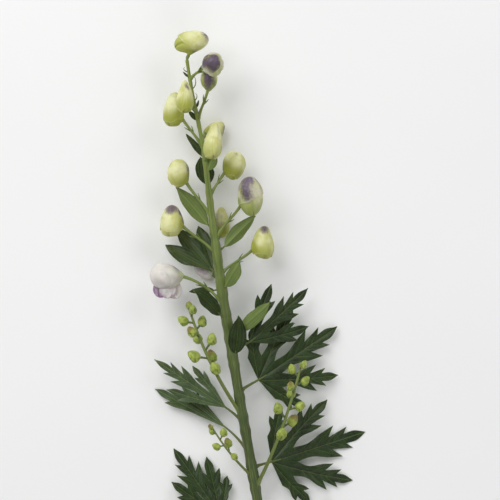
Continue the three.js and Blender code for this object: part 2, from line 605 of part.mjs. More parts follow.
// A side spray: a thin axis with small buds round it by the golden angle, on stalks that shorten upwards.
function spraySolid(row) {
  const next = draws(row.seed);
  const root = stemAt(row.root);
  const tip = vector(row.tip);
  const middle = root.clone().lerp(tip, 0.5).add(vector(row.bow));
  const axis = new THREE.QuadraticBezierCurve3(root, middle, tip);
  const taper = (t) => row.radius * THREE.MathUtils.lerp(SPRAY_TAPER.root, SPRAY_TAPER.tip, t);
  let spray = solidOf(rod(axis, taper, SPRAY_SIDES, SPRAY_RINGS));
  for (let i = 0; i < row.buds; i++) {
    const climb = i / (row.buds - 1);
    const t = row.from + (1 - row.from) * climb ** SPRAY_CROWDING;
    const turn = GOLDEN_ANGLE * i + SPRAY_TURN_JITTER * next();
    const jitter = THREE.MathUtils.lerp(SPRAY_SIZE_JITTER.least, SPRAY_SIZE_JITTER.most, next());
    const size = row.size * (1 - SPRAY_BUD_SHRINK * climb) * jitter;
    const stalkLength = row.stalk * (1 - SPRAY_STALK_SHRINK * climb);
    const stalkRadius = row.radius * SPRAY_STALK_THICKNESS;
    spray = spray.add(sprayBud(axis, t, turn, size, stalkLength, stalkRadius));
  }
  return spray;
}

// The main stem, cut with a slant at its foot.
function stemSolid() {
  const plain = rod(stemAxis, stemRadius, STEM_SIDES, STEM_RINGS);
  return solidOf(
    reshape(plain, (x, y, z) => {
      const fade = THREE.MathUtils.clamp(1 - y / CUT_SLANT_REACH, 0, 1);
      return new THREE.Vector3(x, y + CUT_SLANT * fade * (x - stemAt(0).x), z);
    }),
  );
}

function meshOf(name, solid, colour) {
  const { numProp, numVert, vertProperties, triVerts } = solid.getMesh();
  const points = new Float32Array(numVert * 3);
  for (let i = 0; i < numVert; i++)
    points.set(vertProperties.subarray(i * numProp, i * numProp + 3), i * 3);
  const geometry = new THREE.BufferGeometry()
    .setAttribute("position", new THREE.BufferAttribute(points, 3))
    .setIndex(new THREE.BufferAttribute(triVerts, 1));
  const mesh = new THREE.Mesh(geometry, new THREE.MeshStandardMaterial({ ...COLOURS[colour], metalness: 0 }));
  mesh.name = name;
  return mesh;
}

const wider = (t) => stemRadius(t) + ROOT_GAP;
const clearance = solidOf(rod(stemAxis, wider, STEM_SIDES, STEM_RINGS, ROOT_GAP));
const numbered = (word, i) => `${word}_${String(i + 1).padStart(2, "0")}`;
const flower = new THREE.Group();

// Adds a piece that grows out of the stem: its root is cut back to the stem's skin, and nothing goes below
// the table.
function grow(name, solid, colour) {
  const seated = solid.subtract(clearance).trimByPlane([0, 0, 1], 0);
  const pieces = seated.decompose().sort((a, b) => b.volume() - a.volume());
  flower.add(meshOf(name, pieces[0], colour));
}

flower.add(meshOf("stem", stemSolid().trimByPlane([0, 0, 1], 0), "stem"));
BLOOMS.forEach((row, i) => grow(numbered("bloom", i), bloomSolid(row), row.colour));
BRACTS.forEach((row, i) => grow(numbered("bract_leaf", i), bractLeaf(row), "bract"));
CUT_LEAVES.forEach((row, i) => grow(numbered("cut_leaf", i), cutLeaf(row), "leaf"));
SPRAYS.forEach((row, i) => grow(numbered("side_spray", i), spraySolid(row), "spray"));

// The origin is on the table, under the middle of the whole stem.
const extent = new THREE.Box3().setFromObject(flower);
const middle = extent.getCenter(new THREE.Vector3());
for (const mesh of flower.children) mesh.position.set(-middle.x, -middle.y, -extent.min.z);

export default flower;
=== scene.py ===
"""A cut stem of bicoloured monkshood in bud, lying on a pale table and seen from above.

The shapes are worked out in millimetres in the plan of the stem, where the cut end is at x = 0, y = 0, and
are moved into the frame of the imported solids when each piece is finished.
"""

import logging
import math
from collections.abc import Iterator
from dataclasses import dataclass, field
from enum import Enum

import bpy
import numpy as np
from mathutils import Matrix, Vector

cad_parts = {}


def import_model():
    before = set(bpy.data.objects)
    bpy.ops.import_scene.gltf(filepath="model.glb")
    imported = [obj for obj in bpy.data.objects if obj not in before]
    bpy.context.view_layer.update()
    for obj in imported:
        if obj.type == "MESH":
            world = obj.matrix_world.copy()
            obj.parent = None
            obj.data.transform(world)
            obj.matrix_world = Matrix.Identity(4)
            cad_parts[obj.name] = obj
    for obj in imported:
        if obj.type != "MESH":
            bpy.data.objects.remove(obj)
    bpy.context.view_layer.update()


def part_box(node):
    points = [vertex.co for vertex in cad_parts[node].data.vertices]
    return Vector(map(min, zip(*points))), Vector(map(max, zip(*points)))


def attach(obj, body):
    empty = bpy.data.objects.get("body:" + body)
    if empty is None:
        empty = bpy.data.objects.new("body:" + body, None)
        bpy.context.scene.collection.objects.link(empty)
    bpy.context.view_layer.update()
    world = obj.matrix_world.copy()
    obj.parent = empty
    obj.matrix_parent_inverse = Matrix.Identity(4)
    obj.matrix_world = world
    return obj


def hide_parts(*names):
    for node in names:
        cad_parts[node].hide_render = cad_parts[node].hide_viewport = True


LOG = logging.getLogger("monkshood")
UP = np.array([0.0, 0.0, 1.0])
METRES = 0.001
GOLDEN_ANGLE = 137.5
# Stalks and twigs stay so far above the table, in millimetres.
ON_TABLE = 0.05

Array = np.ndarray
Numbers = np.ndarray | float
Marks = dict[str, np.ndarray]
Point = tuple[float, float, float]
Colour = tuple[int, int, int]
Edge = tuple[tuple[float, float, bool], ...]
Socket = bpy.types.NodeSocket
Material = bpy.types.Material


class Tint(Enum):
    """The colouring of a bloom, with the material slot that it takes its finish from."""

    CREAM = "sepal"
    DARK = "dark_sepal"
    WHITE = "white_sepal"


@dataclass(frozen=True)
class Flush:
    """A soft patch of colour on a bud. Patches give the purple flush and, along some edges, painted shade;
    others give pale colour that is partly painted highlight.

    The patch is centred on a direction from the bud's middle, given as shares to the right, towards the
    stem's tip and up from the table. It reaches so many degrees, and is as strong as strength at its middle.
    """

    right: float
    tipward: float
    above: float
    reach: float
    strength: float


@dataclass(frozen=True)
class BloomRow:
    """One bloom: where it grows, how its bud lies, and how it is coloured.

    The hood's rim lies so many degrees from the middle of the hood, which is the bud's top or else the
    direction in cap. The bud is flushed purple in some patches, and some patches along its right and lower
    edges, away from the key lamp, are painted shade. It is pale in other patches, partly its own paler colour
    and partly painted highlight on the side towards the key lamp.
    """

    root: float
    joint: Point
    angle: float
    tilt: float
    length: float
    depth: float
    width: float
    seat: float
    hood: float
    fullest: float = 0.74
    front: Point | None = None
    arrive: Point | None = None
    rests: bool = False
    petals: int = 0
    rim: float = 124.0
    cap: Point | None = None
    tint: Tint = Tint.CREAM
    # Purple patches, some of which are painted shade on the edges away from the key lamp.
    flushes: tuple[Flush, ...] = ()
    # Pale patches: partly the bud's own paler colour, partly painted highlight towards the key lamp.
    pales: tuple[Flush, ...] = ()
    green: float = 0.5


@dataclass(frozen=True)
class Lobe:
    """One lobe of a leaf: its angle from the middle one, its share of the length, and half of its edge."""

    angle: float
    share: float
    edge: Edge


@dataclass(frozen=True)
class LeafRow:
    """One leaf: its root's height on the stem, and the place and shape of its blade.

    A leaf without a base is a narrow bract leaf, whose blade starts a short petiole away from the stem. The
    lobes are one blade up to join, a share of the length. Its last flag gives the leaf a lighter green that
    is painted light: a lit copy of the other leaves' upper green.
    """

    root: float
    tip: Point
    width: float
    face: float
    droop: float
    base: Point | None = None
    lobes: tuple[Lobe, ...] = ()
    petiole: float = 1.5
    join: float = 0.26
    # Takes the lit copy of the upper green, which is painted light.
    pale: bool = False


@dataclass(frozen=True)
class SprayRow:
    """One side spray of small buds: its axis, and the number, size and stalks of its buds."""

    root: float
    tip: Point
    bow: Point
    radius: float
    buds: int
    first: float
    size: float
    stalk: float
    seed: int


# The blooms, in the order of the solids.
# Some purple patches along the buds' right and lower edges are painted shade.
BLOOMS = (
    BloomRow(583, (-83.6, 588.6, 34), 18, 4, 27, 16.5, 16, 0.37, 0.1, fullest=1, front=(-0.3, 0.95, 0),
             rim=112, cap=(0.88, 0.46, 0.1), green=0.75,
             flushes=(Flush(1, 0.4, 0.2, 26, 0.75), Flush(0.45, -0.9, 0.2, 30, 0.5)),
             pales=(Flush(-0.1, 0.7, 0.7, 46, 0.8),)),
    BloomRow(566, (-73, 579.6, 36.5), 46, 40, 18.5, 17.5, 17, 0.12, 0, fullest=0.95, front=(0.8, -0.5, 0.3),
             rim=59, cap=(-0.42, 0.06, 1), tint=Tint.DARK, green=0.85,
             flushes=(Flush(-0.42, 0.06, 1, 150, 1.3),),
             pales=(Flush(-0.55, 0.5, 0.85, 40, 0.16), Flush(-0.6, -0.8, 0.25, 50, 0.9))),
    BloomRow(534, (-69.6, 561.2, 31), 87, -8, 21, 13, 13.4, 0.04, 0.2, fullest=0.9, front=(0.1, 0, -1),
             rim=172, tint=Tint.DARK, green=0.8,
             flushes=(Flush(0, 0.3, 1, 60, 1.1), Flush(0, -0.6, 0.8, 46, 0.95)),
             pales=(Flush(-1, 0.4, 0.2, 40, 0.9), Flush(1, 0.2, 0.2, 36, 0.8))),
    BloomRow(541, (-84.2, 548.5, 38), 94, 0, 25, 15, 13.6, 0.25, 0.7, front=(-0.45, 0, 0.9), rim=146,
             green=0.95, flushes=(Flush(0.1, 0.97, 0.3, 15, 0.7), Flush(0.3, 0.87, 0.4, 17, 0.8)),
             pales=(Flush(-0.9, 0.2, 0.45, 36, 0.9), Flush(0.2, 0.7, 0.6, 22, 0.4))),
    BloomRow(511.5, (-89.3, 540, 25), 91, 0, 26.5, 15.8, 15, 0.3, 0.2, rim=134, green=0.95,
             flushes=(Flush(0.1, 1, 0.3, 26, 0.3),), pales=(Flush(-0.5, 0.6, 0.6, 34, 0.7),)),
    BloomRow(520, (-71.5, 529, 17), 42, 0, 20, 15.8, 15, 0.3, 0.2, front=(0.5, -0.5, -0.6), rests=True,
             green=0.35, flushes=(Flush(1, 0.1, 0.1, 46, 1), Flush(0.1, 0.1, 1, 60, 0.3)),
             pales=(Flush(0.1, 0.7, 0.7, 44, 0.8),)),
    BloomRow(503, (-69.1, 514.4, 38.5), 79, 4, 28, 16, 15, 0.24, 0.75, fullest=0.7, front=(0.35, 0, 0.9),
             rim=158, green=0.7,
             flushes=(Flush(0.02, -0.86, 0.5, 9, 0.6), Flush(0.75, -0.6, 0.15, 24, 0.6),
                      Flush(0.3, 0.9, 0.5, 36, 0.35)),
             pales=(Flush(-0.2, 0.1, 1, 26, 0.8), Flush(0.15, 0.75, 0.6, 30, 0.9))),
    BloomRow(457, (-86, 490.6, 27), 97, 0, 21.8, 16.4, 15.5, 0.22, 0, fullest=1.1, rim=138,
             cap=(-0.25, 0.97, 0.2), green=0.7,
             flushes=(Flush(-0.1, 0.5, 0.9, 46, 0.25), Flush(0.9, 0.45, 0.1, 30, 0.6),
                      Flush(1, -0.2, 0.1, 26, 0.5)), pales=(Flush(-0.4, 0.5, 0.7, 44, 0.5),)),
    BloomRow(429, (-89.3, 459, 23), 94, 3, 24.6, 17.4, 17, 0.46, 0.1, rim=127, green=0.5,
             flushes=(Flush(-0.02, 0.97, 0.42, 36, 1.3), Flush(0.75, 0.66, 0.12, 26, 1.1),
                      Flush(1, 0.05, 0.1, 24, 0.9)), pales=(Flush(-0.4, -0.2, 0.9, 44, 0.5),)),
    BloomRow(437.5, (-63, 449.4, 12), 86, 0, 23.3, 13.6, 13, 0.1, 0.3, front=(0.6, 0, -0.8), rests=True,
             rim=150, green=0.8, flushes=(Flush(-0.4, 0.6, 0.7, 44, 0.5), Flush(-0.3, -0.3, 1, 44, 0.5))),
    BloomRow(388, (-90.2, 418.2, 22), 184, 6, 24.2, 20.5, 20.5, 0.01, 0, fullest=1.2, front=(0, -1, 0.1),
             arrive=(-0.97, 0.2, 0), petals=3, rim=130, cap=(-0.12, 0.9, 0.42), tint=Tint.WHITE, green=0.35,
             flushes=(Flush(-0.3, 0.2, 0.95, 12, 0.32), Flush(0.75, 0.65, 0.12, 24, 0.9),
                      Flush(0, -0.95, 0.2, 34, 0.5)), pales=(Flush(-0.7, 0.4, 0.6, 50, 0.7),)),
    BloomRow(441, (-45.7, 473.7, 30), 88, 5, 30.5, 19.8, 19, 0.33, 0.1, fullest=1.05, rim=98,
             cap=(-0.16, 0.97, 0.1), tint=Tint.DARK, green=0.75,
             flushes=(Flush(0, 0.7, 0.8, 84, 0.84), Flush(-0.25, 0.15, 0.95, 46, 0.95),
                      Flush(0, 0.9, 0.4, 46, 0.5)),
             pales=(Flush(-1, 0.15, 0.2, 24, 0.7), Flush(0.5, 0.4, 0.7, 56, 0.75))),
    BloomRow(407, (-65.2, 422.2, 11), 158, 0, 18.5, 12.5, 13, 0.2, 0, front=(-0.3, -0.6, -0.7), rests=True,
             rim=160, tint=Tint.WHITE, flushes=(Flush(-0.3, 0.3, 0.9, 90, 0.5),), green=0.15),
    BloomRow(474, (-57.8, 500, 22), 74, -6, 22.4, 17.8, 16.5, 0.3, 0.1, fullest=1.1, rim=146, green=0.85,
             flushes=(Flush(0.15, 0.85, 0.5, 18, 0.3), Flush(-0.8, -0.5, 0.15, 30, 0.3)),
             pales=(Flush(0.2, 0.3, 0.9, 40, 0.5),)),
    BloomRow(414, (-36, 440, 20), 76, 0, 25, 17.5, 16, 0.3, 0.5, rim=138, green=0.7,
             flushes=(Flush(0.1, 0.97, 0.3, 28, 0.9),), pales=(Flush(-0.3, 0.2, 0.9, 44, 0.5),)),
)

# Half a lobe's edge from its inner corner to its tip. Each point is a share of the lobe's free length, a
# share of its half width, and whether the edge has a sharp corner there.
CUT_EDGE = ((0.2, 0.44, False), (0.42, 0.8, False), (0.6, 1, True), (0.49, 0.38, True),
            (0.6, 0.5, False), (0.77, 0.68, True), (0.7, 0.3, True), (0.85, 0.31, False))
NOTCHED_EDGE = ((0.22, 0.6, False), (0.46, 0.92, False), (0.66, 1, True), (0.56, 0.46, True),
                (0.8, 0.44, False))
PLAIN_EDGE = ((0.14, 0.62, False), (0.38, 1, False), (0.66, 0.88, False), (0.88, 0.42, False))


def fan(middle: Edge, *pairs: tuple[float, float, float, Edge]) -> tuple[Lobe, ...]:
    """The lobes of a leaf, from left to right.

    Args:
        middle: the edge of the middle lobe.
        pairs: from the middle out, each pair's angle, its left and right shares of the length, and its edge.

    Returns:
        The lobes.
    """
    left = [Lobe(-angle, share, edge) for angle, share, _, edge in reversed(pairs)]
    right = [Lobe(angle, share, edge) for angle, _, share, edge in pairs]
    return (*left, Lobe(0, 1, middle), *right)


WIDE_LOBES = fan(CUT_EDGE, (33, 0.84, 0.84, CUT_EDGE), (66, 0.56, 0.56, NOTCHED_EDGE))
NARROW_LOBES = fan(CUT_EDGE, (30, 0.78, 0.78, NOTCHED_EDGE))
PLAIN_LOBES = fan(PLAIN_EDGE, (23, 0.95, 0.86, PLAIN_EDGE))
CLOSE_LOBES = fan(CUT_EDGE, (18, 0.72, 0.62, NOTCHED_EDGE))
UNEVEN_LOBES = fan(NOTCHED_EDGE, (9, 1.31, 0.82, NOTCHED_EDGE))
RAISED_LOBES = fan(CUT_EDGE, (22, 0.72, 0.74, NOTCHED_EDGE), (44, 0.5, 0.5, NOTCHED_EDGE))
ONE_LOBE = fan(PLAIN_EDGE)

BRACTS = (
    LeafRow(568, (-88.2, 573.5, 34), 0.9, 10, 2),
    LeafRow(544, (-76.8, 552.5, 31), 0.9, 0, -2),
    LeafRow(506, (-86, 527, 22), 2.9, 30, 2),
    LeafRow(534.5, (-84.6, 544.5, 28), 2, 20, 1),
    LeafRow(481.5, (-75, 509.5, 9), 7.2, 14, 2, petiole=4),
    LeafRow(495, (-65, 512, 31), 4.4, 160, -1),
    LeafRow(451, (-93.5, 485.5, 17), 6, 170, 3, petiole=4),
    LeafRow(433.5, (-34.5, 464, 19), 5.6, 200, 3, petiole=5),
    LeafRow(404, (-47.5, 427, 38), 6, 150, -4, petiole=3),
    LeafRow(381, (-78.5, 408, 36), 7, 40, 4, petiole=5),
    LeafRow(406, (-85.3, 406.5, 7), 3, 30, 3, petiole=3),
    LeafRow(349, (-45.5, 385, 33), 7.2, 12, 4, petiole=5),
    LeafRow(369, (-21, 397, 33), 5.6, 160, 2, petiole=5),
)

# The second and third leaves take a lighter green that is painted light, a lit copy of the upper green.
CUT_LEAVES = (
    LeafRow(410, (-94, 454.5, 10), 6.4, 8, 3, (-65.5, 420.5, 19), PLAIN_LOBES),
    LeafRow(298, (-111, 353, 12), 7.5, 6, 2, (-56, 316, 12), CLOSE_LOBES, pale=True),
    LeafRow(272, (-94, 329, 4), 4.6, 8, 3, (-56, 300.5, 8), UNEVEN_LOBES, join=0.6, pale=True),
    LeafRow(356, (8, 407, 17), 9.5, 14, 4, (-38, 366, 19), NARROW_LOBES),
    LeafRow(324, (30, 378, 7), 12, 3, 3, (-31, 337, 12), WIDE_LOBES),
    LeafRow(266, (52, 297, 3), 12.5, 3, 4, (-21, 274, 8), WIDE_LOBES),
    LeafRow(200, (-96, 285, 4), 10, 8, 4, (-60, 232, 9), RAISED_LOBES),
    LeafRow(188, (56, 224, 3), 12.5, 3, 4, (-8, 196, 9), WIDE_LOBES),
)

SPRAYS = (
    SprayRow(309, (-84, 391, 20), (-6, -4, 9), 1.3, 10, 0.4, 11, 8, 3),
    SprayRow(262, (-66, 300, 28), (-3, -2, 4), 0.9, 6, 0.4, 8, 5, 8),
    SprayRow(254, (1, 346, 30), (4, -6, 9), 1.3, 9, 0.44, 10.5, 8, 5),
)


def vector(xyz: Point) -> Array:
    """A point or direction as an array."""
    return np.array(xyz, float)


def unit(v: Array) -> Array:
    """The same directions, each one long."""
    return v / np.maximum(np.linalg.norm(v, axis=-1, keepdims=True), 1e-12)


def smooth(x: Numbers) -> Array:
    """A smooth step from 0 at x = 0 to 1 at x = 1."""
    x = np.clip(x, 0.0, 1.0)
    return x * x * (3.0 - 2.0 * x)


def bell(x: Numbers, width: float) -> Array:
    """A bell curve that is 1 at x = 0 and fades over the width."""
    return np.exp(-np.square(np.asarray(x, float) / width))


def mix(a: Numbers, b: Numbers, t: Numbers) -> Numbers:
    """The value a share t of the way from a to b."""
    return a + (b - a) * t


def facing(along: Array, degrees: float = 0.0) -> Array:
    """The side of a direction that faces the viewer above, turned about that direction.

    Args:
        along: the direction, one long.
        degrees: how far to turn.

    Returns:
        A direction at right angles to it, one long.
    """
    toward = unit(UP - along * along[2])
    turn = math.radians(degrees)
    return toward * math.cos(turn) + np.cross(along, toward) * math.sin(turn)


def draws(seed: float) -> Iterator[float]:
    """A repeatable stream of numbers from 0 to 1, the same as in the solids.

    Args:
        seed: where the stream starts.

    Yields:
        The next number.
    """
    state = math.floor(seed + 0.5)
    while True:
        state = (state * 1664525 + 1013904223) % 2**32
        yield state / 2**32


def circle(sides: int) -> Array:
    """The angles of a ring's points, spaced evenly."""
    return np.linspace(0, 2 * math.pi, sides, endpoint=False)


def sine(degrees: Numbers) -> Array:
    """The sine of an angle in degrees."""
    return np.sin(np.radians(degrees))


def cosine(degrees: Numbers) -> Array:
    """The cosine of an angle in degrees."""
    return np.cos(np.radians(degrees))


def wrapped(degrees: Array) -> Array:
    """The same angles between -180 and 180 degrees."""
    return (degrees + 180) % 360 - 180


def lifted(points: Array, height: float) -> Array:
    """Raises the points that are lower than a height above the table."""
    points[..., 2] = np.maximum(points[..., 2], height)
    return points


def swell(points: Array, seed: int, wavelength: float) -> Array:
    """A soft random unevenness, from -1 to 1, over points in space.

    It is the mean of five sine waves of that wavelength, each in a direction and phase of its own.

    Args:
        points: the points, with x, y and z last.
        seed: which unevenness.
        wavelength: the distance from crest to crest, in the units of the points.

    Returns:
        One number for each point.
    """
    rng = np.random.default_rng(seed)
    waves = unit(rng.normal(size=(5, 3))) * 2.0 * math.pi / wavelength
    return np.sin(points @ waves.T + rng.uniform(0, 2 * math.pi, 5)).mean(axis=-1)


@dataclass(frozen=True)
class Bezier:
    """A smooth curve between two ends, drawn towards the control points between them."""

    controls: tuple[Array, ...]

    def _weigh(self, controls: Array, t: Array) -> Array:
        """The control points weighed by the Bernstein polynomials at t."""
        n = len(controls) - 1
        k = np.arange(n + 1)
        choose = np.array([math.comb(n, i) for i in k], float)
        weights = choose * t[..., None] ** k * (1.0 - t[..., None]) ** (n - k)
        return weights @ controls

    def at(self, t: Numbers) -> Array:
        """The points at shares t of the way along."""
        return self._weigh(np.array(self.controls), np.asarray(t, float))

    def heading(self, t: Numbers) -> Array:
        """The directions of travel at shares t of the way along."""
        return unit(self._weigh(np.diff(np.array(self.controls), axis=0), np.asarray(t, float)))


@dataclass(frozen=True)
class StemLine:
    """The stem's centre line: a leaning line with one gentle sway, whose tip nods aside off the table."""

    length: float = 584.0
    lean: float = 0.137
    sway: float = 3.5
    nod: float = 6.0
    nods_from: float = 500.0
    nods_to: float = 588.0
    rise: float = 28.0
    rise_power: float = 1.3
    cut_radius: float = 3.7
    tip_radius: float = 1.2
    thins_from: float = 380.0
    thins_to: float = 560.0
    flat_spot: float = 0.25

    def at(self, t: Numbers) -> Array:
        """The points at shares t of the way from the cut end to the tip."""
        t = np.asarray(t, float)
        height = self.length * t
        nod = self.nod * smooth((height - self.nods_from) / (self.nods_to - self.nods_from))
        aside = -self.lean * height + self.sway * np.sin(2 * math.pi * t) - nod
        lift = self.cut_radius - self.flat_spot + self.rise * np.maximum(t, 0) ** self.rise_power
        return np.stack([aside, height, lift], axis=-1)

    def heading(self, t: Numbers) -> Array:
        """The directions of travel at shares t of the way along."""
        t = np.asarray(t, float)
        step = 1e-4
        return unit(self.at(t + step) - self.at(t - step))

    def radius(self, t: Numbers) -> Array:
        """The stem's radius, which thins out smoothly through the flowering top."""
        past = np.asarray(t, float) * self.length - self.thins_from
        return mix(self.cut_radius, self.tip_radius, smooth(past / (self.thins_to - self.thins_from)))

    def root(self, height: float) -> tuple[Array, Array, float]:
        """The point, the direction of growth and the radius at a height on the stem."""
        t = height / self.length
        return self.at(t), self.heading(t), float(self.radius(t))


def tube(path: Bezier | StemLine, t: Array, radius: Array, sides: int) -> Array:
    """The surface of a rod bent along a curve.

    Each ring is a circle round the curve's point, at right angles to its direction there.

    Args:
        path: the curve.
        t: the rings' places along it.
        radius: the radius of each ring, or of each point of each ring.
        sides: the number of points in a ring.

    Returns:
        The points, as rings by sides by three.
    """
    along = path.heading(t)
    hint = UP if np.abs(along[:, 2]).max() < 0.97 else np.array([1.0, 0.0, 0.0])
    across = unit(np.cross(along, hint))
    through = np.cross(across, along)
    angle = circle(sides)[:, None]
    ring = across[:, None] * np.sin(angle) + through[:, None] * np.cos(angle)
    radius = radius[:, None] if radius.ndim < 2 else radius
    return path.at(t)[:, None] + ring * radius[..., None]


def streak_marks(sides: int, along: Array) -> Marks:
    """The marks that lay streaks along a rod: the way round it, and how far along it each ring is."""
    angle = circle(sides)
    return {"turn_x": np.cos(angle), "turn_y": np.sin(angle), "along": along[:, None]}


def clasping(path: Bezier, t: Array, stem_radius: float, reach: float = 3.0) -> Array:
    """How near the stem a stalk is: 1 at each point inside the stem, fading over the reach outside it."""
    away = np.linalg.norm(path.at(t) - path.at(0), axis=-1) - stem_radius
    return bell(np.maximum(away, 0), reach)


def grid_quads(rows: int, columns: int, wrap: bool) -> Array:
    """The four corners of each face of a grid, whose last column may join its first."""
    across = columns if wrap else columns - 1
    r, c = np.meshgrid(np.arange(rows - 1), np.arange(across), indexing="ij")
    a = r * columns + c
    b = r * columns + (c + 1) % columns
    return np.stack([a, b, b + columns, a + columns], axis=-1).reshape(-1, 4)


def volume(points: Array, quads: Array) -> float:
    """Six times the volume that closed faces enclose, which is below 0 where they face inwards."""
    a, b, c, d = (points[quads[:, i]] for i in range(4))
    return float(np.einsum("ij,ij->", a, np.cross(b, c)) + np.einsum("ij,ij->", a, np.cross(c, d)))


@dataclass
class Skin:
    """Closed surfaces gathered into one mesh, with marks on its points that the finishes read."""

    points: list[Array] = field(default_factory=list)
    quads: list[Array] = field(default_factory=list)
    looks: list[Array] = field(default_factory=list)
    marks: list[Marks] = field(default_factory=list)
    crease_angle: float = 50.0

    def add(self, points: Array, quads: Array, looks: Array | int = 0, **marks: Numbers) -> None:
        """Adds one closed surface, and turns it to face outwards.

        Args:
            points: its points, as any number by three.
            quads: the corners of its faces. A face with a corner named twice is a triangle.
            looks: the number of each face's material.
            marks: a number for each point, or one for all, under the name that a finish reads.
        """
        if volume(points, quads) < 0:
            quads = quads[:, ::-1]
        start = sum(len(p) for p in self.points)
        self.points.append(points)
        self.quads.append(quads + start)
        self.looks.append(np.broadcast_to(looks, len(quads)))
        self.marks.append({k: np.broadcast_to(v, len(points)).astype(float) for k, v in marks.items()})

    def add_round(self, rings: Array, looks: int = 0, ends: tuple[float, float] = (0.0, 0.0),
                  **marks: Numbers) -> None:
        """Adds a surface of rings, closed by a point at each end.

        Args:
            rings: the points, as rings by sides by three.
            looks: the number of its material.
            ends: how far each end's point stands out from its ring, in millimetres.
            marks: a number for each point of each ring, or one for all.
        """
        rows, sides = rings.shape[:2]
        middle = rings.mean(axis=1)
        out = unit(np.stack([middle[0] - middle[1], middle[-1] - middle[-2]]))
        poles = middle[[0, -1]] + out * np.array(ends)[:, None]
        points = np.concatenate([rings.reshape(-1, 3), poles])
        here = np.arange(sides)
        after = (here + 1) % sides
        edge = (rows - 1) * sides
        first = np.stack([np.full(sides, rows * sides), after, here, here], axis=-1)
        last = np.stack([np.full(sides, rows * sides + 1), edge + here, edge + after, edge + after], axis=-1)
        full = {}
        for name, value in marks.items():
            value = np.broadcast_to(value, (rows, sides)).astype(float)
            full[name] = np.concatenate([value.ravel(), [value[0].mean(), value[-1].mean()]])
        self.add(points, np.concatenate([grid_quads(rows, sides, True), first, last]), looks, **full)

    def add_rod(self, path: Bezier, radius: Array, sides: int, young: float, scale: float, start: float = 0.0,
                looks: int = 0, ends: tuple[float, float] = (0.0, 0.0)) -> None:
        """Adds a rod along a curve, clear of the table.

        Args:
            path: its middle line.
            radius: the radius of each ring.
            sides: the number of points in a ring.
            young: how young its green is.
            scale: how fast its streaks change along it.
            start: where its streaks start.
            looks: the number of its material.
            ends: how far each end's point stands out from its ring, in millimetres.
        """
        t = np.linspace(0, 1, len(radius))
        rings = lifted(tube(path, t, radius, sides), ON_TABLE)
        self.add_round(rings, looks, ends, young=young, **streak_marks(sides, t * scale + start))

    def mesh(self, name: str, shift: Array) -> bpy.types.Mesh:
        """The gathered surfaces as one Blender mesh in metres.

        Args:
            name: the mesh's name.
            shift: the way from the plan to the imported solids' frame, in millimetres.

        Returns:
            The mesh, shaded smooth except over sharp edges.
        """
        points = (np.concatenate(self.points) + shift) * METRES
        quads, looks = np.concatenate(self.quads), np.concatenate(self.looks)
        twice = quads == np.roll(quads, -1, axis=1)
        sound = (twice.sum(axis=1) <= 1) & (quads[:, 0] != quads[:, 2]) & (quads[:, 1] != quads[:, 3])
        quads, looks, twice = quads[sound], looks[sound], twice[sound]
        corners = quads[~twice]
        sizes = 4 - twice.sum(axis=1)
        mesh = bpy.data.meshes.new(name)
        mesh.vertices.add(len(points))
        mesh.vertices.foreach_set("co", points.astype(np.float32).ravel())
        mesh.loops.add(len(corners))
        mesh.loops.foreach_set("vertex_index", corners.astype(np.int32))
        mesh.polygons.add(len(quads))
        mesh.polygons.foreach_set("loop_start", (np.cumsum(sizes) - sizes).astype(np.int32))
        mesh.polygons.foreach_set("material_index", looks.astype(np.int32))
        mesh.polygons.foreach_set("use_smooth", np.ones(len(quads), bool))
        mesh.update(calc_edges=True)
        for mark in sorted({k for marks in self.marks for k in marks}):
            values = [m.get(mark, np.zeros(len(p))) for m, p in zip(self.marks, self.points)]
            layer = mesh.attributes.new(mark, "FLOAT", "POINT")
            layer.data.foreach_set("value", np.concatenate(values).astype(np.float32))
        mesh.validate()
        mesh.set_sharp_from_angle(angle=math.radians(self.crease_angle))
        return mesh


@dataclass
class Sheet:
    """A thin open surface, such as a leaf's blade, before it gets its thickness."""

    points: Array
    quads: Array
    marks: Marks
    floor: float = 0.02

    @classmethod
    def joined(cls, grids: list[Array], marks: list[Marks]) -> "Sheet":
        """One sheet from several grids, which are joined wherever their points meet.

        Args:
            grids: the points of each grid, as rows by columns by three.
            marks: for each grid, the numbers on its points under each name.

        Returns:
            The sheet.
        """
        points = np.concatenate([g.reshape(-1, 3) for g in grids])
        starts = np.cumsum([0] + [g.shape[0] * g.shape[1] for g in grids[:-1]])
        quads = np.concatenate([grid_quads(*g.shape[:2], False) + s for g, s in zip(grids, starts)])
        thousandths = np.round(points + 0.00037, 3)
        _, kept, index = np.unique(thousandths, axis=0, return_index=True, return_inverse=True)
        quads = index.ravel()[quads]
        twice = (quads == np.roll(quads, -1, axis=1)).sum(axis=1)
        own = {k: np.concatenate([m[k].ravel() for m in marks])[kept] for k in marks[0]}
        return cls(points[kept], quads[twice <= 1], own)

    def normals(self) -> Array:
        """The direction that the sheet faces at each point: the mean of the faces round it, by area."""
        a, b, c, d = (self.points[self.quads[:, i]] for i in range(4))
        across = np.cross(c - a, d - b)
        total = np.zeros_like(self.points)
        for corner in range(4):
            np.add.at(total, self.quads[:, corner], across)
        return unit(total)

    def thicken(self, skin: Skin, above: Array, below: Array, looks: tuple[int, int]) -> None:
        """Adds the sheet to a skin as a solid: two faces, and a wall along the open edge.

        Args:
            skin: what it is added to.
            above: how far the upper face stands off the sheet at each point.
            below: how far the lower face does.
            looks: the material numbers of the upper and the lower face.
        """
        normals = self.normals()
        upper = self.points + normals * above[:, None]
        lower = self.points - normals * below[:, None]
        both = lifted(np.concatenate([upper, lower]), self.floor)
        n = len(self.points)
        tail, head = self.quads.ravel(), np.roll(self.quads, -1, axis=1).ravel()
        real = tail != head
        tail, head = tail[real], head[real]
        open_edge = ~np.isin(tail * n + head, head * n + tail)
        a, b = tail[open_edge], head[open_edge]
        wall = np.stack([b, a, a + n, b + n], axis=-1)
        quads = np.concatenate([self.quads, self.quads[:, ::-1] + n, wall])
        look = np.repeat([*looks, looks[0]], [len(self.quads), len(self.quads), len(wall)])
        skin.add(both, quads, look, **{k: np.tile(v, 2) for k, v in self.marks.items()})


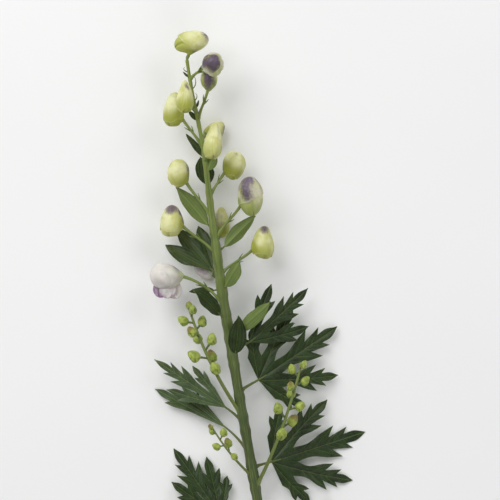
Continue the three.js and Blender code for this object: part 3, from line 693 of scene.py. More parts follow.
def hermite(points: Array, sharp: Array, steps: int) -> Array:
    """A smooth line through points, with corners only where they are sharp.

    Between two points it is the cubic whose slopes are half the way between the neighbours of each, or the
    way to the other point where a corner is sharp.

    Args:
        points: the points to go through.
        sharp: whether each one is a sharp corner.
        steps: the number of steps between two points.

    Returns:
        The line's points.
    """
    ahead = np.diff(points, axis=0)
    middle = np.zeros_like(points)
    middle[1:-1] = (points[2:] - points[:-2]) / 2
    leave = np.where(sharp[:, None], np.vstack([ahead, ahead[-1:]]), middle)[:-1, None]
    reach = np.where(sharp[:, None], np.vstack([ahead[:1], ahead]), middle)[1:, None]
    t = (np.arange(steps) / steps)[None, :, None]
    line = (2 * t**3 - 3 * t**2 + 1) * points[:-1, None] + (t**3 - 2 * t**2 + t) * leave
    line = line + (3 * t**2 - 2 * t**3) * points[1:, None] + (t**3 - t**2) * reach
    return np.concatenate([line.reshape(-1, points.shape[1]), points[-1:]])


class Recipe:
    """Builds one material on a Principled shader, node by node."""

    def __init__(self, name: str) -> None:
        """Starts an empty material of that name."""
        self.material = bpy.data.materials.new(name)
        self.material.use_nodes = True
        self.tree = self.material.node_tree
        self.shader = self.tree.nodes["Principled BSDF"]
        self.place = self.node("ShaderNodeTexCoord").outputs["Object"]

    def node(self, kind: str, inputs: dict | None = None, **settings: object) -> bpy.types.Node:
        """A new node with those settings.

        Args:
            kind: the type of node.
            inputs: what goes into its sockets, by their names or numbers.
            settings: its own settings.

        Returns:
            The node.
        """
        made = self.tree.nodes.new(kind)
        for name, value in settings.items():
            setattr(made, name, value)
        for name, value in (inputs or {}).items():
            self.feed(made.inputs[name], value)
        return made

    def feed(self, socket: Socket, value: object) -> None:
        """Links a socket to another one, or sets it to a number or a colour."""
        if isinstance(value, Socket):
            self.tree.links.new(value, socket)
        elif value is not None:
            socket.default_value = value

    def mark(self, name: str) -> Socket:
        """The numbers that the mesh holds under that name."""
        return self.node("ShaderNodeAttribute", attribute_name=name).outputs["Fac"]

    def math(self, operation: str, *values: object) -> Socket:
        """The result of one operation on numbers or sockets."""
        return self.node("ShaderNodeMath", dict(enumerate(values)), operation=operation).outputs[0]

    def times(self, first: object, second: object) -> Socket:
        """The product of two numbers or sockets."""
        return self.math("MULTIPLY", first, second)

    def plus(self, first: object, *others: object) -> Socket:
        """The sum of numbers or sockets."""
        total = first
        for value in others:
            total = self.math("ADD", total, value)
        return total

    def swing(self, value: object, reach: float) -> Socket:
        """A value from 0 to 1 turned into one that swings round 0, as far as reach either way."""
        return self.times(self.math("SUBTRACT", value, 0.5), 2 * reach)

    def span(self, value: object, low: float, high: float) -> Socket:
        """A smooth step from 0 where the value is low to 1 where it is high."""
        limits = dict(enumerate((value, low, high, 0.0, 1.0)))
        return self.node("ShaderNodeMapRange", limits, interpolation_type="SMOOTHSTEP").outputs[0]

    def inverse(self, value: object) -> Socket:
        """One less a value."""
        return self.math("SUBTRACT", 1.0, value)

    def fade(self, value: object, low: float, high: float) -> Socket:
        """A smooth step from 1 where the value is low to 0 where it is high."""
        return self.inverse(self.span(value, low, high))

    def noise(self, scale: float, detail: float = 3.0, stretch: Point = (1, 1, 1),
              vector: Socket | None = None) -> Socket:
        """Cloudy noise from 0 to 1, with so many cells a metre, squeezed by stretch."""
        mapping = self.node("ShaderNodeMapping", {"Vector": vector or self.place, "Scale": stretch})
        inputs = {"Vector": mapping.outputs["Vector"], "Scale": scale, "Detail": detail}
        return self.node("ShaderNodeTexNoise", inputs).outputs["Fac"]

    def down(self) -> Socket:
        """The finest unevenness, which roughens every living surface."""
        return self.noise(5200, 2)

    def streaks(self, across: float, along: float, detail: float = 3.0) -> Socket:
        """Noise drawn out along a piece, which its marks turn_x, turn_y and along lay round it."""
        marks = [self.mark(name) for name in ("turn_x", "turn_y", "along")]
        made = self.node("ShaderNodeCombineXYZ", dict(enumerate(marks)))
        return self.noise(1.0, detail, (across, across, along), made.outputs[0])

    def cells(self, scale: float) -> Socket:
        """The distance to the edges of a net of cells, with so many cells a metre."""
        inputs = {"Vector": self.place, "Scale": scale}
        return self.node("ShaderNodeTexVoronoi", inputs, feature="DISTANCE_TO_EDGE").outputs["Distance"]

    def blend(self, share: object, first: object, second: object) -> Socket:
        """Two colours blended by a share."""
        inputs = {0: share, 6: paint(first), 7: paint(second)}
        return self.node("ShaderNodeMix", inputs, data_type="RGBA", clamp_factor=True).outputs[2]

    def coat(self, under: object, over: object, value: object, low: float, high: float,
             strength: float = 1.0) -> Socket:
        """A colour laid over another where a value rises from low to high, and so strong at the most."""
        return self.blend(self.times(self.span(value, low, high), strength), under, over)

    def relief(self, *layers: tuple[object, float]) -> Socket:
        """Bumps laid over each other, each a height socket and how high it stands, in metres."""
        normal = None
        for height, distance in layers:
            inputs = {"Height": height, "Distance": distance, "Normal": normal}
            normal = self.node("ShaderNodeBump", inputs).outputs["Normal"]
        return normal

    def finish(self, colour: object, roughness: object, normal: object, **constants: float) -> Material:
        """Joins colour, roughness and relief to the shader, and sets its other values.

        Args:
            colour: the base colour.
            roughness: the roughness.
            normal: the relief's normal, or None.
            constants: values of other sockets, by their names with _ for a space.

        Returns:
            The material.
        """
        inputs = {"Base_Color": colour, "Roughness": roughness, "Normal": normal, **constants}
        for name, value in inputs.items():
            self.feed(self.shader.inputs[name.replace("_", " ")], value)
        return self.material


def paint(colour: object) -> object:
    """A colour given as 0 to 255 on a screen, turned into the light that the shader works with.

    Args:
        colour: the screen's red, green and blue, or a socket.

    Returns:
        The light, or the same socket.
    """
    if not isinstance(colour, tuple):
        return colour
    screen = np.array(colour) / 255
    light = np.where(screen <= 0.04045, screen / 12.92, ((screen + 0.055) / 1.055) ** 2.4)
    return (*light.tolist(), 1.0)


@dataclass(frozen=True)
class StemFinish:
    """Fresh green stem: fine ribs along it, lighter in the flowering top, with a pale pith in the cut. Its
    darker lower green is partly the older stem and partly painted shade among the lower leaves.
    """

    young: Colour = (128, 146, 66)
    # Darker lower green: partly the older stem, partly painted shade among the lower leaves.
    old: Colour = (66, 84, 36)
    shade: Colour = (34, 48, 18)
    light: Colour = (150, 162, 92)
    pith: Colour = (206, 212, 162)
    roughness: float = 0.36

    def material(self, name: str) -> Material:
        """The material: a mark mixes the darker lower green, which is partly painted shade, with the young
        green, with light and dark streaks along the stem.
        """
        make = Recipe(name)
        fine = make.streaks(5.0, 5.0, 4)
        broad = make.streaks(1.4, 2.6)
        clouds = make.noise(60)
        # Darker towards the cut, partly as painted shade among the lower leaves.
        green = make.blend(make.mark("young"), self.old, self.young)
        green = make.coat(green, self.shade, broad, 0.44, 0.7, 0.42)
        green = make.coat(green, self.light, fine, 0.5, 0.76, 0.36)
        green = make.coat(green, self.shade, clouds, 0.52, 0.8, 0.15)
        colour = make.blend(make.mark("pith"), green, self.pith)
        relief = make.relief((fine, 0.00018), (make.down(), 0.00004))
        rough = make.plus(self.roughness, make.times(clouds, 0.18))
        return make.finish(colour, rough, relief, Sheen_Weight=0.1, Subsurface_Weight=0.04)


@dataclass(frozen=True)
class BladeFinish:
    """One side of a leaf: its green, its lighter veins and how glossy it is."""

    green: Colour
    deep: Colour
    veins: Colour
    roughness: float
    vein_width: float
    vein_strength: float
    mottle: float
    shine: float

    def material(self, name: str) -> Material:
        """The material: marks give the distance to the midribs and side veins, in millimetres.

        Narrow leaves have fine lines along them as well, which their mark grain counts off from the midrib.
        """
        make = Recipe(name)
        clouds = make.noise(95, 4)
        fine = make.noise(900)
        net = make.cells(1500)
        rib = make.fade(make.mark("rib"), self.vein_width * 0.3, self.vein_width)
        side = make.fade(make.mark("vein"), 0.0, self.vein_width * 0.8)
        grain = make.math("ABSOLUTE", make.math("SINE", make.times(make.mark("grain"), math.pi)))
        lines = make.times(make.fade(grain, 0.0, 0.34), make.math("MINIMUM", make.mark("grain"), 0.4))
        vein = make.math("MAXIMUM", rib, make.math("MAXIMUM", make.times(side, 0.62), lines))
        vein = make.times(vein, self.vein_strength)
        small = make.times(make.fade(net, 0.0, 0.12), 0.13)
        colour = make.coat(self.green, self.deep, clouds, 0.36, 0.66, self.mottle)
        colour = make.coat(colour, self.veins, fine, 0.45, 0.7, 0.14)
        colour = make.blend(make.math("MAXIMUM", vein, small), colour, self.veins)
        colour = make.coat(colour, self.veins, make.mark("edge"), 0.93, 1.0, 0.35)
        relief = make.relief((make.inverse(vein), 0.00012), (net, 0.00005), (fine, 0.00006))
        rough = make.plus(self.roughness, make.times(fine, 0.16))
        return make.finish(colour, rough, relief, Specular_IOR_Level=self.shine, Subsurface_Weight=0.02)


@dataclass(frozen=True)
class SepalFinish:
    """Finely downy sepals: a pale ground, greener towards the foot, flushed purple in soft uneven patches,
    with painted shade in the creases and in some patches, and painted highlight in part of the pale patches.
    """

    ground: Colour
    light: Colour
    green: Colour
    purple: Colour
    violet: Colour
    streaking: float
    roughness: float = 0.42

    def material(self, name: str) -> Material:
        """The material: marks say how purple, pale and green a point is, and where rim and creases lie. The
        purple is in places painted shade, the pale is partly painted highlight, and the creases are painted
        shade.
        """
        make = Recipe(name)
        clouds = make.noise(130, 4)
        spots = make.noise(620, 4)
        broad = make.streaks(1.7, 0.7)
        fine = make.streaks(5.5, 0.9, 4)
        colour = make.coat(self.ground, self.light, clouds, 0.36, 0.66)
        green = make.plus(make.mark("green"), make.swing(broad, 0.3), make.swing(clouds, 0.3))
        colour = make.coat(colour, self.green, green, 0.1, 1.0)
        colour = make.coat(colour, self.green, fine, 0.52, 0.74, 0.2)
        # Pale patches: partly the sepals' own paler colour, partly painted highlight.
        pale = make.plus(make.mark("pale"), make.swing(broad, 0.25))
        pale = make.times(pale, make.span(make.mark("pale"), 0.0, 0.3))
        colour = make.coat(colour, self.light, pale, 0.0, 1.1)
        uneven = make.plus(make.swing(broad, self.streaking), make.swing(spots, 0.35),
                           make.swing(clouds, 0.4))
        # Purple flush, which in places is painted shade along the bud's edges away from the key lamp.
        present = make.span(make.mark("flush"), 0.0, 0.3)
        flush = make.plus(make.mark("flush"), make.times(uneven, present))
        purple = make.coat(self.purple, self.violet, make.plus(broad, make.swing(clouds, 0.3)), 0.35, 0.75)
        colour = make.coat(colour, purple, flush, 0.0, 1.1, 0.95)
        colour = make.blend(make.times(make.mark("rim"), 0.4), colour, self.light)
        # Painted shade: the creases under the rim, beside the seam and between the notched lobes turn darker
        # green.
        colour = make.blend(make.times(make.mark("crease"), 0.7), colour, self.green)
        relief = make.relief((fine, 0.00016), (spots, 0.00014), (make.down(), 0.00005))
        rough = make.plus(self.roughness, make.times(spots, 0.16))
        return make.finish(colour, rough, relief, Sheen_Weight=0.15, Sheen_Roughness=0.4,
                           Subsurface_Weight=0.08, Subsurface_Scale=0.003)


@dataclass(frozen=True)
class YoungBudFinish:
    """Small tight buds: bright yellow green, tinged brown in places, with painted shade darkening their
    creases.
    """

    green: Colour = (170, 184, 80)
    deep: Colour = (122, 142, 46)
    tinge: Colour = (128, 92, 50)
    # Painted shade in the creases.
    crease: Colour = (58, 76, 26)
    roughness: float = 0.38

    def material(self, name: str) -> Material:
        """The material: marks give the brown tinge of each bud and the painted shade in its creases."""
        make = Recipe(name)
        clouds = make.noise(320, 4)
        spots = make.noise(1400)
        fine = make.streaks(5.0, 1.2)
        colour = make.coat(self.green, self.deep, clouds, 0.35, 0.7)
        colour = make.coat(colour, self.deep, fine, 0.5, 0.7, 0.4)
        brown = make.plus(make.mark("flush"), make.swing(clouds, 0.45))
        colour = make.coat(colour, self.tinge, brown, 0.15, 1.1)
        # Painted shade darkens the creases.
        colour = make.blend(make.mark("crease"), colour, self.crease)
        relief = make.relief((fine, 0.00014), (spots, 0.00010), (make.down(), 0.00004))
        rough = make.plus(self.roughness, make.times(spots, 0.16))
        return make.finish(colour, rough, relief, Sheen_Weight=0.12, Subsurface_Weight=0.06,
                           Subsurface_Scale=0.003)


@dataclass(frozen=True)
class TableFinish:
    """The pale, plain surface that the stem lies on."""

    white: Colour = (246, 246, 246)
    bright: Colour = (250, 250, 250)
    roughness: float = 0.9

    def material(self, name: str) -> Material:
        """The material: one even matt white with the faintest unevenness."""
        make = Recipe(name)
        colour = make.blend(make.noise(6, 2), self.white, self.bright)
        return make.finish(colour, self.roughness, None, Specular_IOR_Level=0.1)


def put(name: str, data: bpy.types.ID) -> bpy.types.Object:
    """Puts a mesh, a light or a camera into the scene as an object of that name."""
    made = bpy.data.objects.new(name, data)
    bpy.context.scene.collection.objects.link(made)
    return made


@dataclass
class Workshop:
    shift: Array
    pieces: int = 0
    triangles: int = 0

    def piece(self, skin: Skin, name: str, slot: str, finishes: list[Material], *nodes: str) -> None:
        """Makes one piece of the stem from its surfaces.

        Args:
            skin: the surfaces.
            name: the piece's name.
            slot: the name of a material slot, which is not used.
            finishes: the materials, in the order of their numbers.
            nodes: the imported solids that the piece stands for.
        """
        mesh = skin.mesh(name, self.shift)
        for finish in finishes:
            mesh.materials.append(finish)
        made = put(name, mesh)
        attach(made, "root")
        if nodes:
            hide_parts(*nodes)
        count = sum(len(p.vertices) - 2 for p in mesh.polygons)
        self.pieces += 1
        self.triangles += count
        LOG.info("%s: %d triangles", name, count)


@dataclass
class MainStem:
    """The main stem, with its fine ribs, the swellings where leaves and pedicels leave it, and its cut.

    The cut face has rings inside each other, each a share of the foot's radius and how much pith shows.
    """

    line: StemLine
    roots: tuple[float, ...]
    sides: int = 48
    rings: int = 460
    ribs: int = 9
    rib_height: float = 0.11
    node_swelling: float = 0.16
    most_nodes: float = 1.2
    node_reach: float = 3.2
    tip_rounding: float = 0.5
    cut_slant: float = 0.6
    slant_reach: float = 12.0
    cut_rings: tuple[tuple[float, float], ...] = ((0.3, 1.0), (0.62, 0.85), (0.9, 0.35))
    ends: tuple[float, float] = (-0.3, 0.5)
    young_from: float = 300.0
    young_over: float = 260.0
    streak_scale: float = 0.01

    def skin(self) -> Skin:
        """The stem's surface.

        The radius is the centre line's, plus a cosine for the ribs and a bell for each node. The foot is
        sheared into a slanting cut.

        Returns:
            The surface, with the marks young, pith and those for streaks.
        """
        t = np.linspace(0, 1, self.rings)
        height = t * self.line.length
        swollen = sum(bell(height - root, self.node_reach) for root in self.roots)
        radius = self.line.radius(t) * (1 + self.node_swelling * np.minimum(swollen, self.most_nodes))
        rounding = 1 - bell(height - self.line.length, 1.0) * self.tip_rounding
        worn = self.rib_height * (0.4 + 0.6 * self.line.radius(t) / self.line.cut_radius)
        ribs = np.cos(self.ribs * circle(self.sides)) * worn[:, None]
        body = tube(self.line, t, (radius * rounding)[:, None] + ribs, self.sides)
        heart = body[:1].mean(axis=1, keepdims=True)
        body = np.concatenate([*(mix(heart, body[:1], share) for share, _ in self.cut_rings), body])
        fade = np.clip(1 - body[..., 1] / self.slant_reach, 0, 1)
        body[..., 1] += self.cut_slant * fade * (body[..., 0] - self.line.at(0)[0])
        height = np.concatenate([np.zeros(len(self.cut_rings)), height])
        young = smooth((height - self.young_from) / self.young_over)
        pith = np.concatenate([[pith for _, pith in self.cut_rings], np.zeros(self.rings)])
        skin = Skin()
        skin.add_round(lifted(body, 0.0), 0, self.ends, young=young[:, None], pith=pith[:, None],
                       **streak_marks(self.sides, height * self.streak_scale))
        return skin


@dataclass
class Blade:
    """A leaf's blade of one or more lobes, worked out as in the solids but finer."""

    line: StemLine
    row: LeafRow
    fold: float = 0.22
    lobe_sag: float = 0.14
    vein_lean: float = 1.6
    bract_vein_lean: float = 0.4
    bends_from: float = 0.26
    lobe_bend: float = 0.14
    table_ease: float = 3.0
    floor: float = 0.35
    steps: int = 6
    columns: int = 9
    crowding: float = 1.25
    body: float = 0.2
    margin: float = 0.09
    midrib: float = 0.55
    side_vein: float = 0.16
    groove_widths: tuple[float, float] = (0.8, 0.5)
    rib_widths: tuple[float, float] = (0.75, 0.45)
    plain_veins: tuple[float, float] = (0.36, 0.7)
    first_veins: tuple[float, float] = (1.6, 2.6)
    vein_slope: float = 0.53
    quilting: float = 0.3
    quilt_width: float = 1.6
    waviness: float = 0.8
    wave_rate: float = 0.42
    full_width: float = 6.0
    grain: float = 5.0

    def __post_init__(self) -> None:
        """Places the blade: its base, its tip, its own three directions, and its share of full relief."""
        self.single = self.row.base is None
        self.lobes = self.row.lobes or ONE_LOBE
        tip = vector(self.row.tip)
        root, _, radius = self.line.root(self.row.root)
        if self.single:
            self.base = root + unit(tip - root) * (radius + self.row.petiole)
        else:
            self.base = vector(self.row.base)
        self.length = float(np.linalg.norm(tip - self.base))
        self.along = unit(tip - self.base)
        self.normal = facing(self.along, self.row.face)
        self.across = np.cross(self.along, self.normal)
        self.relief = min(1.0, self.row.width / self.full_width)

    def stations(self, lobe: Lobe) -> tuple[Array, Array]:
        """The corners of half a lobe's edge: the way forward and out of each, and whether it is sharp."""
        reach = lobe.share * self.length
        join = 0.0 if self.single else self.row.join * self.length
        corners, sharp = [(0.0, 0.0)], [True]
        if join > 0:
            half = math.radians((self.lobes[1].angle - self.lobes[0].angle) / 2)
            corners.append((join * math.cos(half), join * math.sin(half)))
            sharp.append(True)
        for x, out, corner in lobe.edge:
            corners.append((join + x * (reach - join), out * self.row.width * lobe.share))
            sharp.append(corner)
        return np.array([*corners, (reach, 0.0)]), np.array([*sharp, True])

    def vein_distance(self, lobe: Lobe, sharp: Array, v: Array, aside: Array, middle: Array) -> Array:
        """How far each point of half a lobe is from the nearest side vein, in millimetres.

        A cut lobe has a vein to the point of each tooth and one between, and its distance is measured along
        the midrib. A plain lobe has two veins that run along it, a third and two thirds of the way out.
        """
        if lobe.edge is PLAIN_EDGE:
            return np.min([np.abs(v - place) for place in self.plain_veins], axis=0) * aside
        station = np.arange(len(middle)) / self.steps
        teeth = np.flatnonzero(sharp[2:-1])[::2] + 2
        lines = np.concatenate([teeth, (teeth[:-1] + teeth[1:]) / 2 + 0.5, self.first_veins])
        place = np.interp(lines, station, middle[:, 0])
        return np.abs(middle - place).min(axis=1, keepdims=True) * self.vein_slope

    def grid(self, lobe: Lobe, side: int, sag: float) -> tuple[Array, Marks]:
        """Half a lobe as a grid from its midrib out to its edge.

        A row lies on a side vein, which runs forward as it goes out. A point rises from the midrib by the
        fold, sinks along the midrib and the side veins, swells between them, and bends over one arch.

        Args:
            lobe: the lobe.
            side: -1 or 1.
            sag: how far the lobe hangs at its tip.

        Returns:
            The points, and the marks rib, vein, edge and grain.
        """
        corners, sharp = self.stations(lobe)
        edge = hermite(corners, sharp, self.steps)
        forward, out = edge[:, :1], np.maximum(edge[:, 1:], 0)
        middle = forward - (self.bract_vein_lean if self.single else self.vein_lean) * out
        v = np.linspace(0, 1, self.columns) ** self.crowding
        ahead = middle * (1 - v) + forward * v
        aside = out * v
        free = np.maximum(0, ahead / self.length - self.bends_from)
        turn = np.radians(lobe.angle * (1 - self.lobe_bend * free))
        a = ahead * np.cos(turn) - side * aside * np.sin(turn)
        b = ahead * np.sin(turn) + side * aside * np.cos(turn)
        arch = self.row.droop * (a * a + b * b) / self.length**2
        vein = self.vein_distance(lobe, sharp, v, aside, middle)
        rib_groove, vein_groove = self.groove_widths
        sunk = self.midrib * 0.5 * bell(aside, rib_groove) + self.side_vein * bell(vein, vein_groove)
        puffed = self.quilting * (1 - bell(np.minimum(aside, vein), self.quilt_width)) * (1 - v**4)
        wave = self.waviness * v**3 * np.sin(forward * self.wave_rate + self.row.root + side)
        relief = puffed - sunk + wave * smooth(free * 6)
        rise = self.fold * aside - arch - sag * free + self.relief * relief
        points = (self.base + a[..., None] * self.along + b[..., None] * self.across
                  + rise[..., None] * self.normal)
        points[..., 2] = self.above_table(points[..., 2])
        marks = {"rib": aside, "vein": vein, "edge": v, "grain": self.grain * v * (lobe.edge is PLAIN_EDGE)}
        return points, {k: np.broadcast_to(value, aside.shape) for k, value in marks.items()}

    def above_table(self, z: Array) -> Array:
        """Lifts what would sink into the table so that it lies along it, with a soft bend between."""
        height = z - self.floor
        eased = (height + self.table_ease) ** 2 / (4 * self.table_ease)
        low = np.where(height < -self.table_ease, 0.0, eased)
        return np.where(height > self.table_ease, z, self.floor + low)

    def add_to(self, skin: Skin) -> None:
        """Adds the blade to a skin, thicker along its veins underneath and thin at its edge."""
        next_draw = draws(self.row.root)
        grids, marks = [], []
        for lobe in self.lobes:
            sag = (next(next_draw) - 0.5) * self.lobe_sag * self.length
            for side in (-1, 1):
                points, mark = self.grid(lobe, side, sag)
                grids.append(points[:, ::side])
                marks.append({k: value[:, ::side] for k, value in mark.items()})
        sheet = Sheet.joined(grids, marks)
        rib, vein, edge = (sheet.marks[k] for k in ("rib", "vein", "edge"))
        above = mix(self.body, self.margin, edge**3)
        ribs = (self.midrib * bell(rib, self.rib_widths[0])
                + self.side_vein * bell(vein, self.rib_widths[1]) * (1 - edge))
        sheet.thicken(skin, above, above + self.relief * ribs, (0, 1))


@dataclass
class Leaf:
    """A leaf with its petiole, which widens where it clasps the stem."""

    line: StemLine
    row: LeafRow
    radius: float = 1.3
    bract_radius: float = 1.0
    sink: float = 0.1
    lowest: float = 0.7
    pull: float = 0.35
    taper: tuple[float, float] = (1.25, 0.45)
    narrowest: float = 0.35
    full_width: float = 8.0
    clasp: float = 0.7
    sides: int = 16
    rings: int = 36
    young: float = 0.35
    streak_scale: float = 0.01

    def skin(self) -> Skin:
        """The leaf's surfaces: its blade in materials 0 and 1, and its petiole in material 2."""
        skin = Skin()
        blade = Blade(self.line, self.row)
        blade.add_to(skin)
        root, rise, stem_radius = self.line.root(self.row.root)
        reach = float(np.linalg.norm(blade.base - root))
        pull = reach * self.pull
        end = lifted(blade.base + blade.along * blade.length * self.sink, self.lowest)
        path = Bezier((root, root + rise * pull, blade.base - blade.along * pull, end))
        t = np.linspace(0, 1, self.rings)
        thick = self.radius * mix(*self.taper, t)
        if blade.single:
            share = min(1.0, self.narrowest + self.row.width / self.full_width)
            thick = self.bract_radius * share * mix(*self.taper, t)
        thick = thick * (1 + self.clasp * clasping(path, t, stem_radius))
        skin.add_rod(path, thick, self.sides, self.young, reach * self.streak_scale, looks=2)
        return skin


@dataclass
class Bud:
    """A hooded bud: a hood whose two sides meet in a seam, over the lobes of the lower sepals at its foot."""

    joint: Array
    up: Array
    towards: Array
    length: float
    depth: float
    width: float
    seat: float
    hood: float
    fullest: float
    seed: int
    rim: float = 124.0
    cap: Array | None = None
    rows: int = 92
    sectors: int = 112
    first_ring: float = 2.0
    last_ring: float = 178.5
    rim_rings: tuple[float, ...] = (-3.2, -2.0, -1.1, -0.4, 0.0, 0.35, 0.8, 1.6, 2.8)
    rim_gaps: tuple[float, float] = (4.5, 4.0)
    belly_crowding: float = 0.47
    back_lean: float = -0.07
    step: float = 0.034
    flare: float = 0.012
    rim_wave: float = 7.0
    seam_step: float = 0.05
    seam_swing: float = 26.0
    seam_turn: float = 1.6
    seam_from: float = 24.0
    keel: float = 0.035
    hollow: float = 0.035
    notch: float = 0.08
    notch_places: tuple[float, ...] = (-74, 6, 78, 180)
    foot_swell: float = 0.03
    lumps: float = 0.034
    slendering: float = 0.42
    spine: Point = (0.54, 0.46, 0.3)
    beak: float = 0.0
    neck: float = 1.8
    neck_reach: float = 3.4
    neck_way: Array | None = None

    def __post_init__(self) -> None:
        """Works out the bud's own directions: up along it, front to its belly, and side."""
        self.front = unit(self.towards - self.up * float(self.towards @ self.up))
        self.side = np.cross(self.front, self.up)

    def breadth(self, share: Numbers) -> Array:
        """How broad the bud is a share of the way up, before its depth and width."""
        skewed = np.clip(share, 0, 1) ** self.fullest
        slender = 1 - self.slendering * self.hood * share**2
        return np.sqrt(np.maximum(0, skewed * (1 - skewed))) * slender

    def point(self, front: Numbers, up: Numbers, side: Numbers) -> Array:
        """Points of the bud, from directions in the unit ball.

        The ball is drawn out into an egg that is fullest below its middle, and the egg's spine leans from
        the belly at its foot to the back at its top.

        Args:
            front: the share towards the belly.
            up: the share along the bud.
            side: the share sideways.

        Returns:
            The points in the plan.
        """
        foot, upright, hooded = self.spine
        top = mix(upright, hooded, self.hood)
        share = (1 + np.asarray(up, float)) / 2
        back = mix(foot, top, smooth(self.seat)) - self.breadth(self.seat)
        reach = self.breadth(share) / np.maximum(np.sqrt(np.maximum(1 - np.square(up), 0)), 1e-3)
        spine = mix(foot, top, smooth(share)) + self.beak * np.clip(share, 0, 1) ** 3
        ahead = self.depth * (spine - back + reach * front)
        aside, along = self.width * reach * side, self.length * (share - self.seat)
        return (self.joint + ahead[..., None] * self.front + aside[..., None] * self.side
                + along[..., None] * self.up)

    def rings(self) -> tuple[Array, Array]:
        """The angles of the grid, in degrees: down from the hood's middle, and round it from the belly.

        The rings crowd at the hood's rim, and the points of a ring crowd at the belly.
        """
        spare = self.rows - len(self.rim_rings)
        above = round(spare * min(0.9, self.rim / 180))
        hood = np.linspace(self.first_ring, self.rim - self.rim_gaps[0], above)
        foot = np.linspace(self.rim + self.rim_gaps[1], self.last_ring, spare - above)
        down = np.concatenate([hood, self.rim + np.array(self.rim_rings), foot])
        turn = circle(self.sectors)
        return down[:, None], np.degrees(turn - self.belly_crowding * np.sin(turn))[None, :]

    def aims(self) -> Array:
        """Three directions in the bud's axes: to the hood's middle, from there to the belly, and aside."""
        pole = np.array([self.back_lean, 1.0, 0.0])
        if self.cap is not None:
            pole = np.array([self.cap @ way for way in (self.front, self.up, self.side)])
        pole = unit(pole)
        belly = np.eye(3)[0 if abs(pole[0]) < 0.9 else 1]
        belly = unit(belly - pole * float(belly @ pole))
        return np.stack([pole, belly, np.cross(pole, belly)])

    def surface(self) -> tuple[Array, Marks]:
        """The bud's surface as rings round the middle of its hood.

        The hood has a keel along the middle of its belly and back with a shallow hollow on each side, and a
        seam that winds down its belly, where one side lies over the other. It flares at its rim, past which
        the lower sepals step in and are notched into lobes. A neck is drawn out towards the pedicel. The
        bells and steps below have their widths in degrees, or for keel and hollows in shares of the ball.

        Returns:
            The rings, and the marks that the finishes read, with under, which is 1 past the rim.
        """
        down, turn = self.rings()
        past_rim = down - self.rim
        phase = np.random.default_rng(self.seed).uniform(0, 360, 3)
        wave = cosine(2 * turn + phase[0]) + 0.5 * sine(3 * turn + phase[1])
        wave = wave + 0.3 * sine(5 * turn + phase[2])
        polar = down + self.rim_wave * wave * bell(past_rim, 26) * smooth((self.last_ring - down) / 30)
        flat = np.stack([cosine(polar), sine(polar) * cosine(turn), sine(polar) * sine(turn)], axis=-1)
        ball = flat @ self.aims()
        front, up, side = np.moveaxis(ball, -1, 0)

        under = smooth(past_rim / 0.8)
        over = 1 - under
        seam = self.seam_swing * np.sin(np.radians(self.seam_turn * (down - 35)) + phase[0])
        past_seam = wrapped(turn - seam)
        shown = smooth((down - self.seam_from) / 36) * over
        tucked = np.where(past_seam < 0, np.exp(past_seam / 36) * smooth(-past_seam / 5), 0.0)
        ridge = 0.5 * bell(past_seam - 5, 7)
        notches = np.max([bell(wrapped(turn - place), 10) for place in self.notch_places], axis=0)
        notches = notches * under * smooth(past_rim / 12)
        scale = (1 + self.flare * bell(past_rim, 9) * (past_rim <= 0) - self.step * under
                 + self.keel * bell(side, 0.2) * over * smooth((down - 8) / 30)
                 - self.hollow * bell(np.abs(side) - 0.5, 0.2) * over * smooth((down - 20) / 30)
                 + self.seam_step * (ridge - tucked) * shown
                 - self.notch * notches + self.foot_swell * under * smooth(past_rim / 20)
                 + self.lumps * (swell(ball, self.seed, 1.5) + 0.3 * swell(ball, self.seed + 9, 0.6)))
        middle = self.centre()
        points = middle + (self.point(front, up, side) - middle) * scale[..., None]
        if self.neck_way is not None:
            near = bell(np.linalg.norm(points - self.joint, axis=-1), self.neck_reach)
            points = points + (self.neck * near)[..., None] * self.neck_way

        # Painted shade in the creases: just under the rim, beside the seam, and in the notches.
        crease = 0.35 * bell(past_rim - 1.2, 1.0) + 0.35 * bell(past_seam + 3, 3) * shown + 0.5 * notches
        faint = 0.5 + 0.5 * cosine(turn * 2 + phase[1])
        rim = bell(past_rim + 2.5, 3.0) * (past_rim <= 0) * faint + 0.2 * bell(past_seam - 5, 6) * shown
        aside = np.maximum(np.hypot(front, side), 0.05)
        marks = {"turn_x": front / aside, "turn_y": side / aside, "along": up + 0.37 * (self.seed % 17),
                 "rim": rim, "crease": np.clip(crease, 0, 1), "under": under, "up": up}
        return points, marks

    def centre(self) -> Array:
        """The middle of the bud."""
        return self.point(np.array(0.0), np.array(0.0), np.array(0.0))


